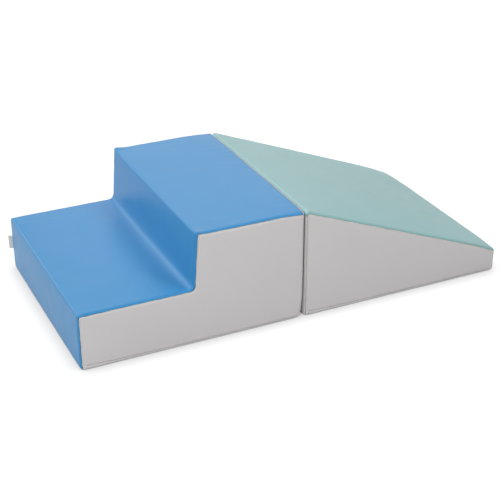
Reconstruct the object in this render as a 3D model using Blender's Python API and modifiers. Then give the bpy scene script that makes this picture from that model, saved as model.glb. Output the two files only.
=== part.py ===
"""Soft play foam climber: a two-step block and a wedge ramp that butt end to end.

Frame: the origin is on the floor under the middle of the footprint. +X runs from the
steps to the ramp, +Z is up, and -Y is the near side. All sizes are in metres.
"""

import math

import bmesh
import bpy
from mathutils import Matrix, Vector

# Overall sizes of the two blocks
BLOCK_WIDTH = 0.608
STEPS_LENGTH = 0.614
RAMP_LENGTH = 0.606
STEPS_HEIGHT = 0.307
LOW_STEP_HEIGHT = 0.154
LOW_TREAD_DEPTH = 0.315
RISER_RAKE = 0.011
RAMP_SET_DOWN = 0.001
LIP_HEIGHT = 0.067

# Sheet goods
COVER_THICKNESS = 0.001
BASE_THICKNESS = 0.0015
CLEARANCE = 0.0003
FOAM_CLEARANCE = 0.0006
BASE_LIFT = 0.0003
MERGE_DISTANCE = 0.00003

# Edges and seams of the covers
EDGE_RADIUS = 0.0062
SLOPE_EDGE_RADIUS = 0.0090
BACK_EDGE_RADIUS = 0.0035
EDGE_RADIUS_AT_SEAM = 0.0070
SEAM_RUN = 0.0005
SIDE_ROLL_RADIUS = 0.0120
SEAM_ANGLE_DEG = 45
SEAM_GAP = 0.0006
BASE_ROLL_RADIUS = 0.0065
BRIDGE_AT_SEAM = 0.016
BRIDGE_MIDDLE = 0.076
FULLNESS_AT_SEAM = 1.0
FULLNESS_MIDDLE = 2.2
FULL_SHARE = 0.62
FOAM_BASE_RADIUS = 0.0125
FOAM_EDGE_RADIUS = 0.0125

# Crown of the filled faces
TREAD_CROWN = 0.0045
FRONT_CROWN = 0.0035
RISER_CROWN = 0.0030
SLOPE_CROWN = 0.0040
LIP_CROWN = 0.0015
SIDE_CROWN = 0.0035
SIDE_CROWN_REACH = 0.055
CORNER_DROOP = 0.0045
CORNER_DROOP_REACH = 0.045

# Hook-and-loop strips between the blocks
TAPE_THICKNESS = 0.0014
TAPE_HEIGHT = 0.050
TAPE_SIDE_MARGIN = 0.054
TAPE_LENGTH = BLOCK_WIDTH - 2 * TAPE_SIDE_MARGIN
TAPE_ABOVE_FLOOR = 0.050
TAPE_BELOW_TOP = 0.057
JOINT_GAP = 2 * TAPE_THICKNESS + 3 * CLEARANCE

# Zips across the base panels
ZIP_INSET = 0.070
ZIP_SLOT_WIDTH = 0.0100
ZIP_CHAIN_WIDTH = 0.0052
ZIP_CHAIN_HEIGHT = 0.0020
ZIP_CHAIN_SIDE_MARGIN = 0.034
ZIP_CHAIN_LENGTH = BLOCK_WIDTH - 2 * ZIP_CHAIN_SIDE_MARGIN
ZIP_TAPE_WIDTH = 0.013
ZIP_TAPE_THICKNESS = 0.0006
ZIP_TAPE_SIDE_MARGIN = 0.024
ZIP_TAPE_LENGTH = BLOCK_WIDTH - 2 * ZIP_TAPE_SIDE_MARGIN
SLIDER_LENGTH = 0.012
SLIDER_WIDTH = 0.0088
SLIDER_PLATE = 0.0008
SLIDER_WALL = 0.0012
SLIDER_NECK_LENGTH = 0.003
SLIDER_NECK_WIDTH = 0.0020
ZIP_GROOVE_WIDTH = 0.036
ZIP_GROOVE_SIDE_MARGIN = 0.018
ZIP_GROOVE_LENGTH = BLOCK_WIDTH - 2 * ZIP_GROOVE_SIDE_MARGIN
ZIP_GROOVE_DEPTH = 0.0040

# Sewn-in blank tag
TAG_HEIGHT = 0.039
TAG_REACH = 0.014
TAG_THICKNESS = 0.0008
TAG_BASE_HEIGHT = 0.056
TAG_LEAN_DEG = 42

# Counts
ARC_COUNT = 4
ROLL_COUNT = 3
BASE_ROLL_COUNT = 3
WIDTH_COUNT = 6
FRONT_COUNT = 3
TREAD_COUNT = 6
RISER_COUNT = 3
BACK_COUNT = 5
SLOPE_COUNT = 10
LIP_COUNT = 2
FOAM_ROLL_COUNT = 2
TAG_COUNT = 6
ROUND_PROFILE_SHARE = 0.5
PANEL_ROLL_SHARES = (0.55, 0.95)

# Places that follow from the sizes
RAMP_HEIGHT = STEPS_HEIGHT - RAMP_SET_DOWN
TAPE_LOW_CENTRE = TAPE_ABOVE_FLOOR + TAPE_HEIGHT / 2
TAPE_HIGH_CENTRE = STEPS_HEIGHT - TAPE_BELOW_TOP - TAPE_HEIGHT / 2
TOTAL_LENGTH = STEPS_LENGTH + JOINT_GAP + RAMP_LENGTH
FRONT_X = -TOTAL_LENGTH / 2
RISER_X = FRONT_X + LOW_TREAD_DEPTH
STEPS_BACK_X = FRONT_X + STEPS_LENGTH
RAMP_BACK_X = STEPS_BACK_X + JOINT_GAP
LIP_X = RAMP_BACK_X + RAMP_LENGTH
HALF_WIDTH = BLOCK_WIDTH / 2
SEAM_ANGLE = math.radians(SEAM_ANGLE_DEG)
SEAM_DEPTH = SIDE_ROLL_RADIUS * (1 - math.cos(SEAM_ANGLE))
SEAM_INSET = SIDE_ROLL_RADIUS * (1 - math.sin(SEAM_ANGLE))
FOAM_INSET = COVER_THICKNESS + FOAM_CLEARANCE
FOAM_BASE_Z = BASE_LIFT + COVER_THICKNESS + FOAM_CLEARANCE
ZIP_TAPE_Z = BASE_THICKNESS + CLEARANCE
ZIP_CHAIN_Z = ZIP_TAPE_Z + ZIP_TAPE_THICKNESS / 2 - ZIP_CHAIN_HEIGHT / 2
STEPS_ZIP_X = STEPS_BACK_X - ZIP_INSET
RAMP_ZIP_X = RAMP_BACK_X + ZIP_INSET

# Colours, linear
BLUE = (0.115, 0.330, 0.610, 1)
MINT = (0.370, 0.560, 0.555, 1)
GREY = (0.520, 0.515, 0.515, 1)
BASE_GREY = (0.060, 0.062, 0.066, 1)
FOAM = (0.800, 0.760, 0.620, 1)
HOOK = (0.030, 0.030, 0.032, 1)
ZIP = (0.230, 0.235, 0.245, 1)
SLIDER = (0.560, 0.560, 0.570, 1)
TAG = (0.800, 0.800, 0.790, 1)


def clear_scene():
    for obj in list(bpy.data.objects):
        bpy.data.objects.remove(obj, do_unlink=True)


def new_collection(name, hidden):
    collection = bpy.data.collections.new(name)
    bpy.context.scene.collection.children.link(collection)
    collection.hide_render = hidden
    return collection


def new_material(name, colour, roughness, metallic):
    material = bpy.data.materials.new(name)
    material.use_nodes = True
    shader = material.node_tree.nodes["Principled BSDF"]
    shader.inputs["Base Color"].default_value = colour
    shader.inputs["Roughness"].default_value = roughness
    shader.inputs["Metallic"].default_value = metallic
    return material


def add_object(name, bm, collection):
    mesh = bpy.data.meshes.new(name)
    bm.to_mesh(mesh)
    bm.free()
    obj = bpy.data.objects.new(name, mesh)
    collection.objects.link(obj)
    return obj


def bake_modifiers(obj):
    bpy.context.view_layer.update()
    graph = bpy.context.evaluated_depsgraph_get()
    mesh = bpy.data.meshes.new_from_object(obj.evaluated_get(graph))
    obj.modifiers.clear()
    old = obj.data
    obj.data = mesh
    bpy.data.meshes.remove(old)
    mesh.name = obj.name


def dress(obj, colour, roughness, metallic=0, smooth=False):
    """Give a finished piece its own material."""
    obj.data.materials.clear()
    obj.data.materials.append(new_material(obj.name, colour, roughness, metallic))
    for polygon in obj.data.polygons:
        polygon.use_smooth = smooth


def move_origin(obj, place):
    obj.data.transform(Matrix.Translation(-place))
    obj.location = place


def carry(name, place, collection):
    """An empty at a moving block's reference point, which carries its pieces."""
    empty = bpy.data.objects.new(name, None)
    empty.location = place
    collection.objects.link(empty)
    return empty


# Outlines in the XZ plane


def spread(start, end, count):
    return [start + (end - start) * k / count for k in range(count + 1)]


def clamp(value):
    return min(1, max(0, value))


def base_rows():
    """Heights of the rows where a wall rolls under to the base, lowest first."""
    rows = []
    for k in range(BASE_ROLL_COUNT):
        angle = math.pi / 2 * (1 - k / BASE_ROLL_COUNT)
        rows.append(BASE_LIFT + BASE_ROLL_RADIUS * (1 - math.sin(angle)))
    return rows


def base_inset(height):
    """How far a wall has rolled in under the block at a height."""
    above = height - BASE_LIFT
    if above >= BASE_ROLL_RADIUS:
        return 0
    drop = BASE_ROLL_RADIUS - above
    return BASE_ROLL_RADIUS - math.sqrt(max(0, BASE_ROLL_RADIUS ** 2 - drop ** 2))


def bridge_points(start, corner, end, fullness):
    """Points with normals along a curve that fills a corner, after its start."""
    points = []
    for t in spread(0, 1, ARC_COUNT)[1:]:
        first = (start * (1 - t) + corner * fullness * t) / (1 - t + fullness * t)
        last = (corner * fullness * (1 - t) + end * t) / (fullness * (1 - t) + t)
        share = (fullness * (1 - t) + t) * t
        share = share / (share + (1 - t + fullness * t) * (1 - t))
        along = (last - first).normalized()
        points.append((first + (last - first) * share, Vector((-along.y, along.x))))
    return points


def path(corners, bends, cuts):
    """Points with outward normals along an outline that keeps its outside on its left.

    corners are (x, z). bends has one entry for each inner corner, either the radius of
    an arc or the (tangent length, fullness) of a bridge, and cuts has one count for
    each straight run. A run with no length left is passed over.
    """
    places = [Vector(corner) for corner in corners]
    headings = [(b - a).normalized() for a, b in zip(places, places[1:])]
    normals = [Vector((-h.y, h.x)) for h in headings]
    points = []
    start = places[0]
    for k, heading in enumerate(headings):
        end = places[k + 1]
        turn = 0
        bridged = k < len(bends) and isinstance(bends[k], tuple)
        if bridged:
            end = end - heading * bends[k][0]
        elif k < len(bends):
            following = headings[k + 1]
            cross = heading.x * following.y - heading.y * following.x
            turn = math.atan2(cross, heading.dot(following))
            end = end - heading * bends[k] * math.tan(abs(turn) / 2)
        if (end - start).dot(heading) > CLEARANCE:
            for share in spread(0, 1, cuts[k])[1 if points else 0:]:
                points.append((start + (end - start) * share, normals[k]))
        if bridged:
            reach, fullness = bends[k]
            corner = places[k + 1]
            points += bridge_points(end, corner, corner + headings[k + 1] * reach, fullness)
            start = points[-1][0]
        elif k < len(bends):
            side = -1 if turn < 0 else 1
            centre = end + normals[k] * bends[k] * side
            for step in range(1, ARC_COUNT + 1):
                angle = turn * step / ARC_COUNT
                normal = Vector((
                    normals[k].x * math.cos(angle) - normals[k].y * math.sin(angle),
                    normals[k].x * math.sin(angle) + normals[k].y * math.cos(angle),
                ))
                points.append((centre - normal * bends[k] * side, normal))
            start = points[-1][0]
    return points


def wall_up(x):
    """The rolled rows at the foot of a wall that faces -X, lowest first."""
    return [(Vector((x, height)), Vector((-1, 0))) for height in base_rows()]


def wall_down(x):
    """The rolled rows at the foot of a wall that faces +X, highest first."""
    return [(Vector((x, height)), Vector((1, 0))) for height in reversed(base_rows())]


def edge_radius(y, middle):
    """The covers' edges are crisp along a face and blunter down in a side seam."""
    share = clamp((HALF_WIDTH - SEAM_INSET - abs(y)) / (SIDE_ROLL_RADIUS - SEAM_INSET))
    drop = 1 - math.sqrt(1 - (1 - share) ** 2)
    return middle + (EDGE_RADIUS_AT_SEAM - middle) * drop


def back_seam(y):
    """How far in from the back the top of the back panel meets the tread strip."""
    return edge_radius(y, BACK_EDGE_RADIUS) + SEAM_RUN


def inner_bridge(y):
    """Reach and fullness of the roll of cover across the corner under the riser."""
    share = clamp(1 - abs(y) / HALF_WIDTH)
    grown = math.sin(math.pi / 2 * share)
    filled = clamp(share / FULL_SHARE)
    return (
        BRIDGE_AT_SEAM + (BRIDGE_MIDDLE - BRIDGE_AT_SEAM) * grown,
        FULLNESS_AT_SEAM + (FULLNESS_MIDDLE - FULLNESS_AT_SEAM) * filled,
    )


def steps_strip_path(y):
    foot = BASE_LIFT + BASE_ROLL_RADIUS
    corners = [
        (FRONT_X, foot),
        (FRONT_X, LOW_STEP_HEIGHT),
        (RISER_X - RISER_RAKE, LOW_STEP_HEIGHT),
        (RISER_X, STEPS_HEIGHT),
        (STEPS_BACK_X - back_seam(y) - SEAM_GAP, STEPS_HEIGHT),
    ]
    radius = edge_radius(y, EDGE_RADIUS)
    bends = [radius, inner_bridge(y), radius]
    cuts = [FRONT_COUNT, TREAD_COUNT, RISER_COUNT, TREAD_COUNT]
    return wall_up(FRONT_X) + path(corners, bends, cuts)


def steps_back_path(y):
    foot = BASE_LIFT + BASE_ROLL_RADIUS
    corners = [
        (STEPS_BACK_X - back_seam(y), STEPS_HEIGHT),
        (STEPS_BACK_X, STEPS_HEIGHT),
        (STEPS_BACK_X, foot),
    ]
    bends = [edge_radius(y, BACK_EDGE_RADIUS)]
    return path(corners, bends, [1, BACK_COUNT]) + wall_down(STEPS_BACK_X)


def ramp_back_path(y):
    foot = BASE_LIFT + BASE_ROLL_RADIUS
    top = slope_corner_drop()
    corners = [(RAMP_BACK_X, foot), (RAMP_BACK_X, RAMP_HEIGHT - top - SEAM_GAP)]
    return wall_up(RAMP_BACK_X) + path(corners, [], [BACK_COUNT])


def slope_angle():
    return math.atan2(RAMP_HEIGHT - LIP_HEIGHT, RAMP_LENGTH)


def slope_corner_drop():
    """Depth of the seam below the top corner of the wedge, just under its round."""
    turn = math.pi / 2 + slope_angle()
    return SLOPE_EDGE_RADIUS * math.tan(turn / 2) + SEAM_RUN


def lip_corner_drop():
    turn = math.pi / 2 - slope_angle()
    return EDGE_RADIUS_AT_SEAM * math.tan(turn / 2) + SEAM_RUN


def slope_strip_path(y):
    corners = [
        (RAMP_BACK_X, RAMP_HEIGHT - slope_corner_drop()),
        (RAMP_BACK_X, RAMP_HEIGHT),
        (LIP_X, LIP_HEIGHT),
        (LIP_X, LIP_HEIGHT - lip_corner_drop()),
    ]
    bends = [edge_radius(y, SLOPE_EDGE_RADIUS), edge_radius(y, EDGE_RADIUS)]
    return path(corners, bends, [1, SLOPE_COUNT, 1])


def lip_path(y):
    foot = BASE_LIFT + BASE_ROLL_RADIUS
    corners = [(LIP_X, LIP_HEIGHT - lip_corner_drop() - SEAM_GAP), (LIP_X, foot)]
    return path(corners, [], [LIP_COUNT]) + wall_down(LIP_X)


# Crown of the filled faces


def bump(value, low, high):
    share = clamp((value - low) / (high - low))
    return 1 - abs(2 * share - 1) ** 3


def edge_distance(x, z, corners):
    """A smooth measure of how far a point is inside an outline."""
    total = 0
    here = Vector((x, z))
    for a, b in zip(corners, corners[1:] + corners[:1]):
        a = Vector(a)
        b = Vector(b)
        along = clamp((here - a).dot(b - a) / (b - a).length_squared)
        gap = (here - a - (b - a) * along).length
        total += (SIDE_CROWN_REACH / max(gap, CLEARANCE)) ** 3
    return SIDE_CROWN_REACH / total ** (1 / 3)


def side_push(point, corners):
    share = (abs(point.y) / HALF_WIDTH) ** 4
    inside = edge_distance(point.x, point.z, corners)
    push = SIDE_CROWN * share * (1 - math.exp(-inside / SIDE_CROWN_REACH))
    return math.copysign(push, point.y)


def corner_droop(point, x, height):
    """How far a top corner has been worn down by the pull of its three seams."""
    across = (abs(point.y) / HALF_WIDTH) ** 8
    along = math.exp(-((point.x - x) / CORNER_DROOP_REACH) ** 2)
    return CORNER_DROOP * across * along * clamp(point.z / height) ** 3


def crown_steps(point):
    across = bump(point.y, -HALF_WIDTH, HALF_WIDTH)
    outline = [
        (FRONT_X, 0),
        (FRONT_X, LOW_STEP_HEIGHT),
        (RISER_X, LOW_STEP_HEIGHT),
        (RISER_X, STEPS_HEIGHT),
        (STEPS_BACK_X, STEPS_HEIGHT),
        (STEPS_BACK_X, 0),
    ]
    if point.x < RISER_X:
        low = clamp(point.z / LOW_STEP_HEIGHT) ** 2
        lift = TREAD_CROWN * bump(point.x, FRONT_X, RISER_X - RISER_RAKE) * low
    else:
        high = clamp((point.z - LOW_STEP_HEIGHT) / (STEPS_HEIGHT - LOW_STEP_HEIGHT)) ** 2
        lift = TREAD_CROWN * bump(point.x, RISER_X, STEPS_BACK_X) * high
    near_front = clamp(1 - (point.x - FRONT_X) / LOW_TREAD_DEPTH) ** 2
    near_riser = clamp(1 - (point.x - RISER_X) / (STEPS_LENGTH - LOW_TREAD_DEPTH)) ** 2
    push = FRONT_CROWN * bump(point.z, 0, LOW_STEP_HEIGHT) * near_front
    push += RISER_CROWN * bump(point.z, LOW_STEP_HEIGHT, STEPS_HEIGHT) * near_riser
    lift = lift * across - corner_droop(point, STEPS_BACK_X, STEPS_HEIGHT)
    return point + Vector((-push * across, side_push(point, outline), lift))


def crown_ramp(point):
    across = bump(point.y, -HALF_WIDTH, HALF_WIDTH)
    outline = [
        (RAMP_BACK_X, 0),
        (RAMP_BACK_X, RAMP_HEIGHT),
        (LIP_X, LIP_HEIGHT),
        (LIP_X, 0),
    ]
    along = clamp((point.x - RAMP_BACK_X) / RAMP_LENGTH)
    slope = RAMP_HEIGHT + (LIP_HEIGHT - RAMP_HEIGHT) * along
    high = clamp(point.z / slope) ** 2
    lift = SLOPE_CROWN * bump(point.x, RAMP_BACK_X, LIP_X) * high * across
    push = LIP_CROWN * bump(point.z, 0, LIP_HEIGHT) * along ** 8 * across
    angle = slope_angle()
    return point + Vector((
        push + lift * math.sin(angle),
        side_push(point, outline),
        lift * math.cos(angle) - corner_droop(point, LIP_X, LIP_HEIGHT),
    ))


def move_vertices(obj, field):
    for vertex in obj.data.vertices:
        vertex.co = field(vertex.co)


# Covers


def width_stations():
    """(y, depth below the face, angle of the normal) from the near seam to the far one."""
    near = []
    for k in range(ROLL_COUNT + 1):
        angle = -SEAM_ANGLE * (1 - k / ROLL_COUNT)
        near.append((
            -HALF_WIDTH + SIDE_ROLL_RADIUS * (1 + math.sin(angle)),
            SIDE_ROLL_RADIUS * (1 - math.cos(angle)),
            angle,
        ))
    flat = HALF_WIDTH - SIDE_ROLL_RADIUS
    middle = [(y, 0, 0) for y in spread(-flat, flat, WIDTH_COUNT)[1:-1]]
    far = [(-y, depth, -angle) for y, depth, angle in reversed(near)]
    return near + middle + far


def strip_cover(name, path_at, field, collection):
    """A strip of cover that follows an outline and rolls down over both side edges."""
    stations = width_stations()
    lines = [path_at(y) for y, depth, angle in stations]
    rows = len(lines[0]) - 1
    columns = len(stations) - 1
    bm = bmesh.new()
    bmesh.ops.create_grid(bm, x_segments=rows, y_segments=columns, size=1)
    for vertex in bm.verts:
        row = round((vertex.co.x + 1) / 2 * rows)
        column = round((vertex.co.y + 1) / 2 * columns)
        y, depth, angle = stations[column]
        place, normal = lines[column][row]
        inset = base_inset(place.y)
        out = math.cos(angle) * inset
        sideways = math.sin(angle) * inset
        vertex.co = (
            place.x - normal.x * (depth + out),
            y - sideways,
            place.y - normal.y * (depth + out),
        )
    obj = add_object(name, bm, collection)
    thicken(obj)
    move_vertices(obj, field)
    return obj


def thicken(obj):
    solidify = obj.modifiers.new("thickness", "SOLIDIFY")
    solidify.thickness = COVER_THICKNESS
    solidify.offset = -1
    solidify.use_even_offset = True
    bake_modifiers(obj)


def bisect(bm, axis, places):
    for place in places:
        centre = Vector((0, 0, 0))
        centre[axis] = place
        normal = Vector((0, 0, 0))
        normal[axis] = 1
        bmesh.ops.bisect_plane(
            bm,
            geom=bm.verts[:] + bm.edges[:] + bm.faces[:],
            plane_co=centre,
            plane_no=normal,
            dist=MERGE_DISTANCE,
        )


def segment_gap(place, a, b):
    along = clamp((place - a).dot(b - a) / (b - a).length_squared)
    return (place - a - (b - a) * along).length


def roll_angle(depth):
    """How far round the rolled edge a depth below the face is, from 0 to a right angle."""
    return math.acos(max(0, 1 - depth / SIDE_ROLL_RADIUS))


def cut_along(bm, seam):
    """Rows in a side panel that follow its long seams, for the curve of its edge."""
    done = []
    for a, b in seam:
        run = b - a
        inward = Vector((run.y, -run.x)).normalized()
        known = any(
            abs(inward.dot(normal) - 1) < CLEARANCE and abs((a - place).dot(normal)) < CLEARANCE
            for place, normal in done
        )
        if run.length < SIDE_ROLL_RADIUS or known:
            continue
        done.append((a, inward))
        for share in PANEL_ROLL_SHARES:
            place = a + inward * (SIDE_ROLL_RADIUS * share - SEAM_DEPTH - SEAM_GAP)
            bmesh.ops.bisect_plane(
                bm,
                geom=bm.verts[:] + bm.edges[:] + bm.faces[:],
                plane_co=(place.x, 0, place.y),
                plane_no=(inward.x, 0, inward.y),
                dist=MERGE_DISTANCE,
            )


def side_cover(name, side, paths, across_cuts, up_cuts, field, collection):
    """A side panel inside the seam line, rounded to its seams and rolled under below."""
    depth = SEAM_DEPTH + SEAM_GAP
    outline = []
    for path_at in paths:
        for place, normal in path_at(side * HALF_WIDTH):
            corner = place - normal * depth
            if not outline or (corner - outline[-1]).length > SEAM_GAP * 2:
                outline.append(corner)
    bm = bmesh.new()
    verts = [bm.verts.new((p.x, side * HALF_WIDTH, p.y)) for p in outline]
    if side > 0:
        verts.reverse()
    bm.faces.new(verts)
    bm.normal_update()
    if bm.faces[:][0].normal.y * side < 0:
        bmesh.ops.reverse_faces(bm, faces=bm.faces[:])
    bisect(bm, 0, across_cuts)
    bisect(bm, 2, up_cuts + base_rows()[1:] + [BASE_LIFT + BASE_ROLL_RADIUS])
    seam = list(zip(outline, outline[1:]))
    cut_along(bm, seam)
    front = min(p.x for p in outline) - depth
    back = max(p.x for p in outline) + depth
    for vertex in bm.verts:
        place = Vector((vertex.co.x, vertex.co.z))
        below = depth + min(segment_gap(place, a, b) for a, b in seam)
        rolled = SIDE_ROLL_RADIUS * (1 - math.sin(roll_angle(below)))
        from_end = min(place.x - front, back - place.x)
        turn = roll_angle(from_end)
        inset = base_inset(place.y)
        vertex.co.y -= side * (rolled + inset * math.sin(turn))
        vertex.co.x += math.copysign(inset * math.cos(turn), front + back - 2 * place.x)
    obj = add_object(name, bm, collection)
    thicken(obj)
    move_vertices(obj, field)
    return obj


# Solid pieces


def box(name, low, high, collection):
    bm = bmesh.new()
    bmesh.ops.create_cube(bm, size=1)
    for vertex in bm.verts:
        vertex.co = [
            low[axis] + (vertex.co[axis] + 1 / 2) * (high[axis] - low[axis])
            for axis in range(3)
        ]
    return add_object(name, bm, collection)


def foam_block(name, outline, rounded, cuts, field, collection):
    """Foam cut to an outline, with the marked runs of its side edges rounded off."""
    wide = HALF_WIDTH - FOAM_INSET
    bm = bmesh.new()
    verts = [bm.verts.new((x, -wide, z)) for x, z in outline]
    face = bm.faces.new(verts)
    grown = bmesh.ops.extrude_face_region(bm, geom=[face])
    for element in grown["geom"]:
        if isinstance(element, bmesh.types.BMVert):
            element.co.y = wide
    bmesh.ops.recalc_face_normals(bm, faces=bm.faces[:])
    edges = []
    for edge in bm.edges:
        a, b = [vertex.co for vertex in edge.verts]
        if abs(a.y - b.y) > CLEARANCE:
            continue
        if rounded((a + b) / 2):
            edges.append(edge)
    bmesh.ops.bevel(
        bm,
        geom=edges,
        offset=SIDE_ROLL_RADIUS - FOAM_INSET,
        offset_type="OFFSET",
        segments=FOAM_ROLL_COUNT,
        profile=ROUND_PROFILE_SHARE,
        affect="EDGES",
        clamp_overlap=False,
    )
    for axis, places in enumerate(cuts):
        bisect(bm, axis, places)
    bmesh.ops.remove_doubles(bm, verts=bm.verts[:], dist=MERGE_DISTANCE)
    obj = add_object(name, bm, collection)
    move_vertices(obj, field)
    return obj


def cut(obj, cutter):
    boolean = obj.modifiers.new("groove", "BOOLEAN")
    boolean.operation = "DIFFERENCE"
    boolean.solver = "EXACT"
    boolean.object = cutter
    bake_modifiers(obj)


def base_panel(name, low_x, high_x, low_zip, collection):
    """Half of a base panel, on one side of the zip."""
    reach = HALF_WIDTH - BASE_ROLL_RADIUS - SEAM_GAP
    obj = box(name, (low_x, -reach, 0), (high_x, reach, BASE_THICKNESS), collection)
    outer = high_x if low_zip else low_x
    bm = bmesh.new()
    bm.from_mesh(obj.data)
    edges = [
        edge for edge in bm.edges
        if abs(edge.verts[0].co.z - edge.verts[1].co.z) > CLEARANCE
        and abs(edge.verts[0].co.x - outer) < CLEARANCE
    ]
    bmesh.ops.bevel(
        bm,
        geom=edges,
        offset=SIDE_ROLL_RADIUS - BASE_ROLL_RADIUS - SEAM_GAP,
        segments=FOAM_ROLL_COUNT,
        profile=ROUND_PROFILE_SHARE,
        affect="EDGES",
    )
    bm.to_mesh(obj.data)
    bm.free()
    return obj


def zip_fastener(prefix, x, parts, cutters):
    """The zip across a base: two tapes, the closed chain and its slider."""
    half_chain = ZIP_CHAIN_WIDTH / 2
    inner = half_chain + CLEARANCE
    top = ZIP_TAPE_Z + ZIP_TAPE_THICKNESS
    half_tape = ZIP_TAPE_LENGTH / 2
    for word, side in (("front", -1), ("rear", 1)):
        edges = sorted((x + side * inner, x + side * (inner + ZIP_TAPE_WIDTH)))
        tape = box(
            prefix + "_zip_tape_" + word,
            (edges[0], -half_tape, ZIP_TAPE_Z),
            (edges[1], half_tape, top),
            parts,
        )
        dress(tape, ZIP, 0.85)
    slider_y = ZIP_CHAIN_LENGTH / 2
    chain_end = slider_y - SLIDER_NECK_LENGTH - CLEARANCE
    chain = box(
        prefix + "_zip_chain",
        (x - half_chain, -ZIP_CHAIN_LENGTH / 2, ZIP_CHAIN_Z),
        (x + half_chain, chain_end, ZIP_CHAIN_Z + ZIP_CHAIN_HEIGHT),
        parts,
    )
    dress(chain, ZIP, 0.5)
    low = ZIP_CHAIN_Z - CLEARANCE - SLIDER_PLATE
    high = ZIP_CHAIN_Z + ZIP_CHAIN_HEIGHT + CLEARANCE + SLIDER_PLATE
    half_slider = SLIDER_WIDTH / 2
    slider = box(
        prefix + "_zip_slider",
        (x - half_slider, slider_y - SLIDER_LENGTH, low),
        (x + half_slider, slider_y, high),
        parts,
    )
    channel = box(
        prefix + "_slider_channel_cutter",
        (x - half_slider + SLIDER_WALL, slider_y - 2 * SLIDER_LENGTH, low + SLIDER_PLATE),
        (x + half_slider - SLIDER_WALL, slider_y - SLIDER_NECK_LENGTH, high - SLIDER_PLATE),
        cutters,
    )
    slot = box(
        prefix + "_slider_slot_cutter",
        (x - SLIDER_WIDTH, slider_y - 2 * SLIDER_LENGTH, ZIP_TAPE_Z - CLEARANCE),
        (x - SLIDER_NECK_WIDTH / 2, slider_y + SLIDER_LENGTH, top + CLEARANCE),
        cutters,
    )
    mirror_slot = box(
        prefix + "_slider_slot_cutter_rear",
        (x + SLIDER_NECK_WIDTH / 2, slider_y - 2 * SLIDER_LENGTH, ZIP_TAPE_Z - CLEARANCE),
        (x + SLIDER_WIDTH, slider_y + SLIDER_LENGTH, top + CLEARANCE),
        cutters,
    )
    cut(slider, channel)
    cut(slider, slot)
    cut(slider, mirror_slot)
    dress(slider, SLIDER, 0.35, 1)
    move_origin(slider, Vector((x, slider_y - SLIDER_LENGTH / 2, (low + high) / 2)))


def groove_cutter(name, x, cutters):
    half = ZIP_GROOVE_WIDTH / 2
    reach = ZIP_GROOVE_LENGTH / 2
    return box(
        name,
        (x - half, -reach, -ZIP_GROOVE_DEPTH),
        (x + half, reach, FOAM_BASE_Z + ZIP_GROOVE_DEPTH),
        cutters,
    )


def tag(name, collection):
    """Folded blank tag that stands out of the far front seam."""
    steps = TAG_COUNT
    bm = bmesh.new()
    bmesh.ops.create_grid(bm, x_segments=steps, y_segments=1, size=1)
    lean = math.radians(TAG_LEAN_DEG)
    stand_off = CLEARANCE + COVER_THICKNESS / 2
    root_x = FRONT_X + SEAM_DEPTH - stand_off * math.cos(SEAM_ANGLE)
    root_y = HALF_WIDTH - SEAM_INSET + stand_off * math.sin(SEAM_ANGLE)
    for vertex in bm.verts:
        share = (vertex.co.x + 1) / 2
        up = (vertex.co.y + 1) / 2
        angle = lean * (1 + share) * 2 / 3
        vertex.co = (
            root_x - TAG_REACH * share * math.sin(angle),
            root_y + TAG_REACH * share * math.cos(angle),
            TAG_BASE_HEIGHT + TAG_HEIGHT * up,
        )
    obj = add_object(name, bm, collection)
    solidify = obj.modifiers.new("thickness", "SOLIDIFY")
    solidify.thickness = TAG_THICKNESS
    solidify.offset = 0
    bake_modifiers(obj)
    return obj


clear_scene()
parts = new_collection("soft_play_climber", False)
cutters = new_collection("cutters", True)

width_cuts = spread(
    SIDE_ROLL_RADIUS - HALF_WIDTH, HALF_WIDTH - SIDE_ROLL_RADIUS, WIDTH_COUNT
)[1:-1]

# Steps block: foam


def foam_steps_base():
    top = LOW_STEP_HEIGHT - FOAM_INSET
    front = FRONT_X + FOAM_INSET
    back = STEPS_BACK_X - FOAM_INSET
    corners = [
        (back - FOAM_BASE_RADIUS * 2, FOAM_BASE_Z),
        (front, FOAM_BASE_Z),
        (front, top),
        (back, top),
    ]
    # the path keeps the outside on its left, so it runs up the front and along the top
    points = path(
        corners, [FOAM_BASE_RADIUS, FOAM_EDGE_RADIUS], [1, FRONT_COUNT, 1]
    )
    outline = [(p.x, p.y) for p, normal in points[:-1]]
    outline += [(RISER_X - RISER_RAKE, top), (back, top)]
    turned = path(
        [(back, top), (back, FOAM_BASE_Z), (back - FOAM_BASE_RADIUS * 2, FOAM_BASE_Z)],
        [FOAM_BASE_RADIUS],
        [1, 1],
    )
    outline += [(p.x, p.y) for p, normal in turned][1:-1]
    return outline


def rounded_base_slab(middle):
    under_upper = middle.x > RISER_X - RISER_RAKE
    on_top = middle.z > LOW_STEP_HEIGHT - FOAM_INSET - CLEARANCE
    return not (under_upper and on_top)


def foam_steps_upper():
    lean = math.atan2(RISER_RAKE, STEPS_HEIGHT - LOW_STEP_HEIGHT)
    shift = FOAM_INSET / math.cos(lean)
    low = LOW_STEP_HEIGHT - FOAM_INSET + CLEARANCE
    top = STEPS_HEIGHT - FOAM_INSET
    slant = math.tan(lean)
    foot = RISER_X + shift - (STEPS_HEIGHT - low) * slant
    head = RISER_X + shift - FOAM_INSET * slant
    back = STEPS_BACK_X - FOAM_INSET
    corners = [(foot, low), (head, top), (back, top), (back, low)]
    bends = [FOAM_EDGE_RADIUS, FOAM_EDGE_RADIUS]
    points = path(corners, bends, [RISER_COUNT, 1, 1])
    return [(p.x, p.y) for p, normal in points]


def rounded_upper_slab(middle):
    return middle.z > LOW_STEP_HEIGHT


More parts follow.
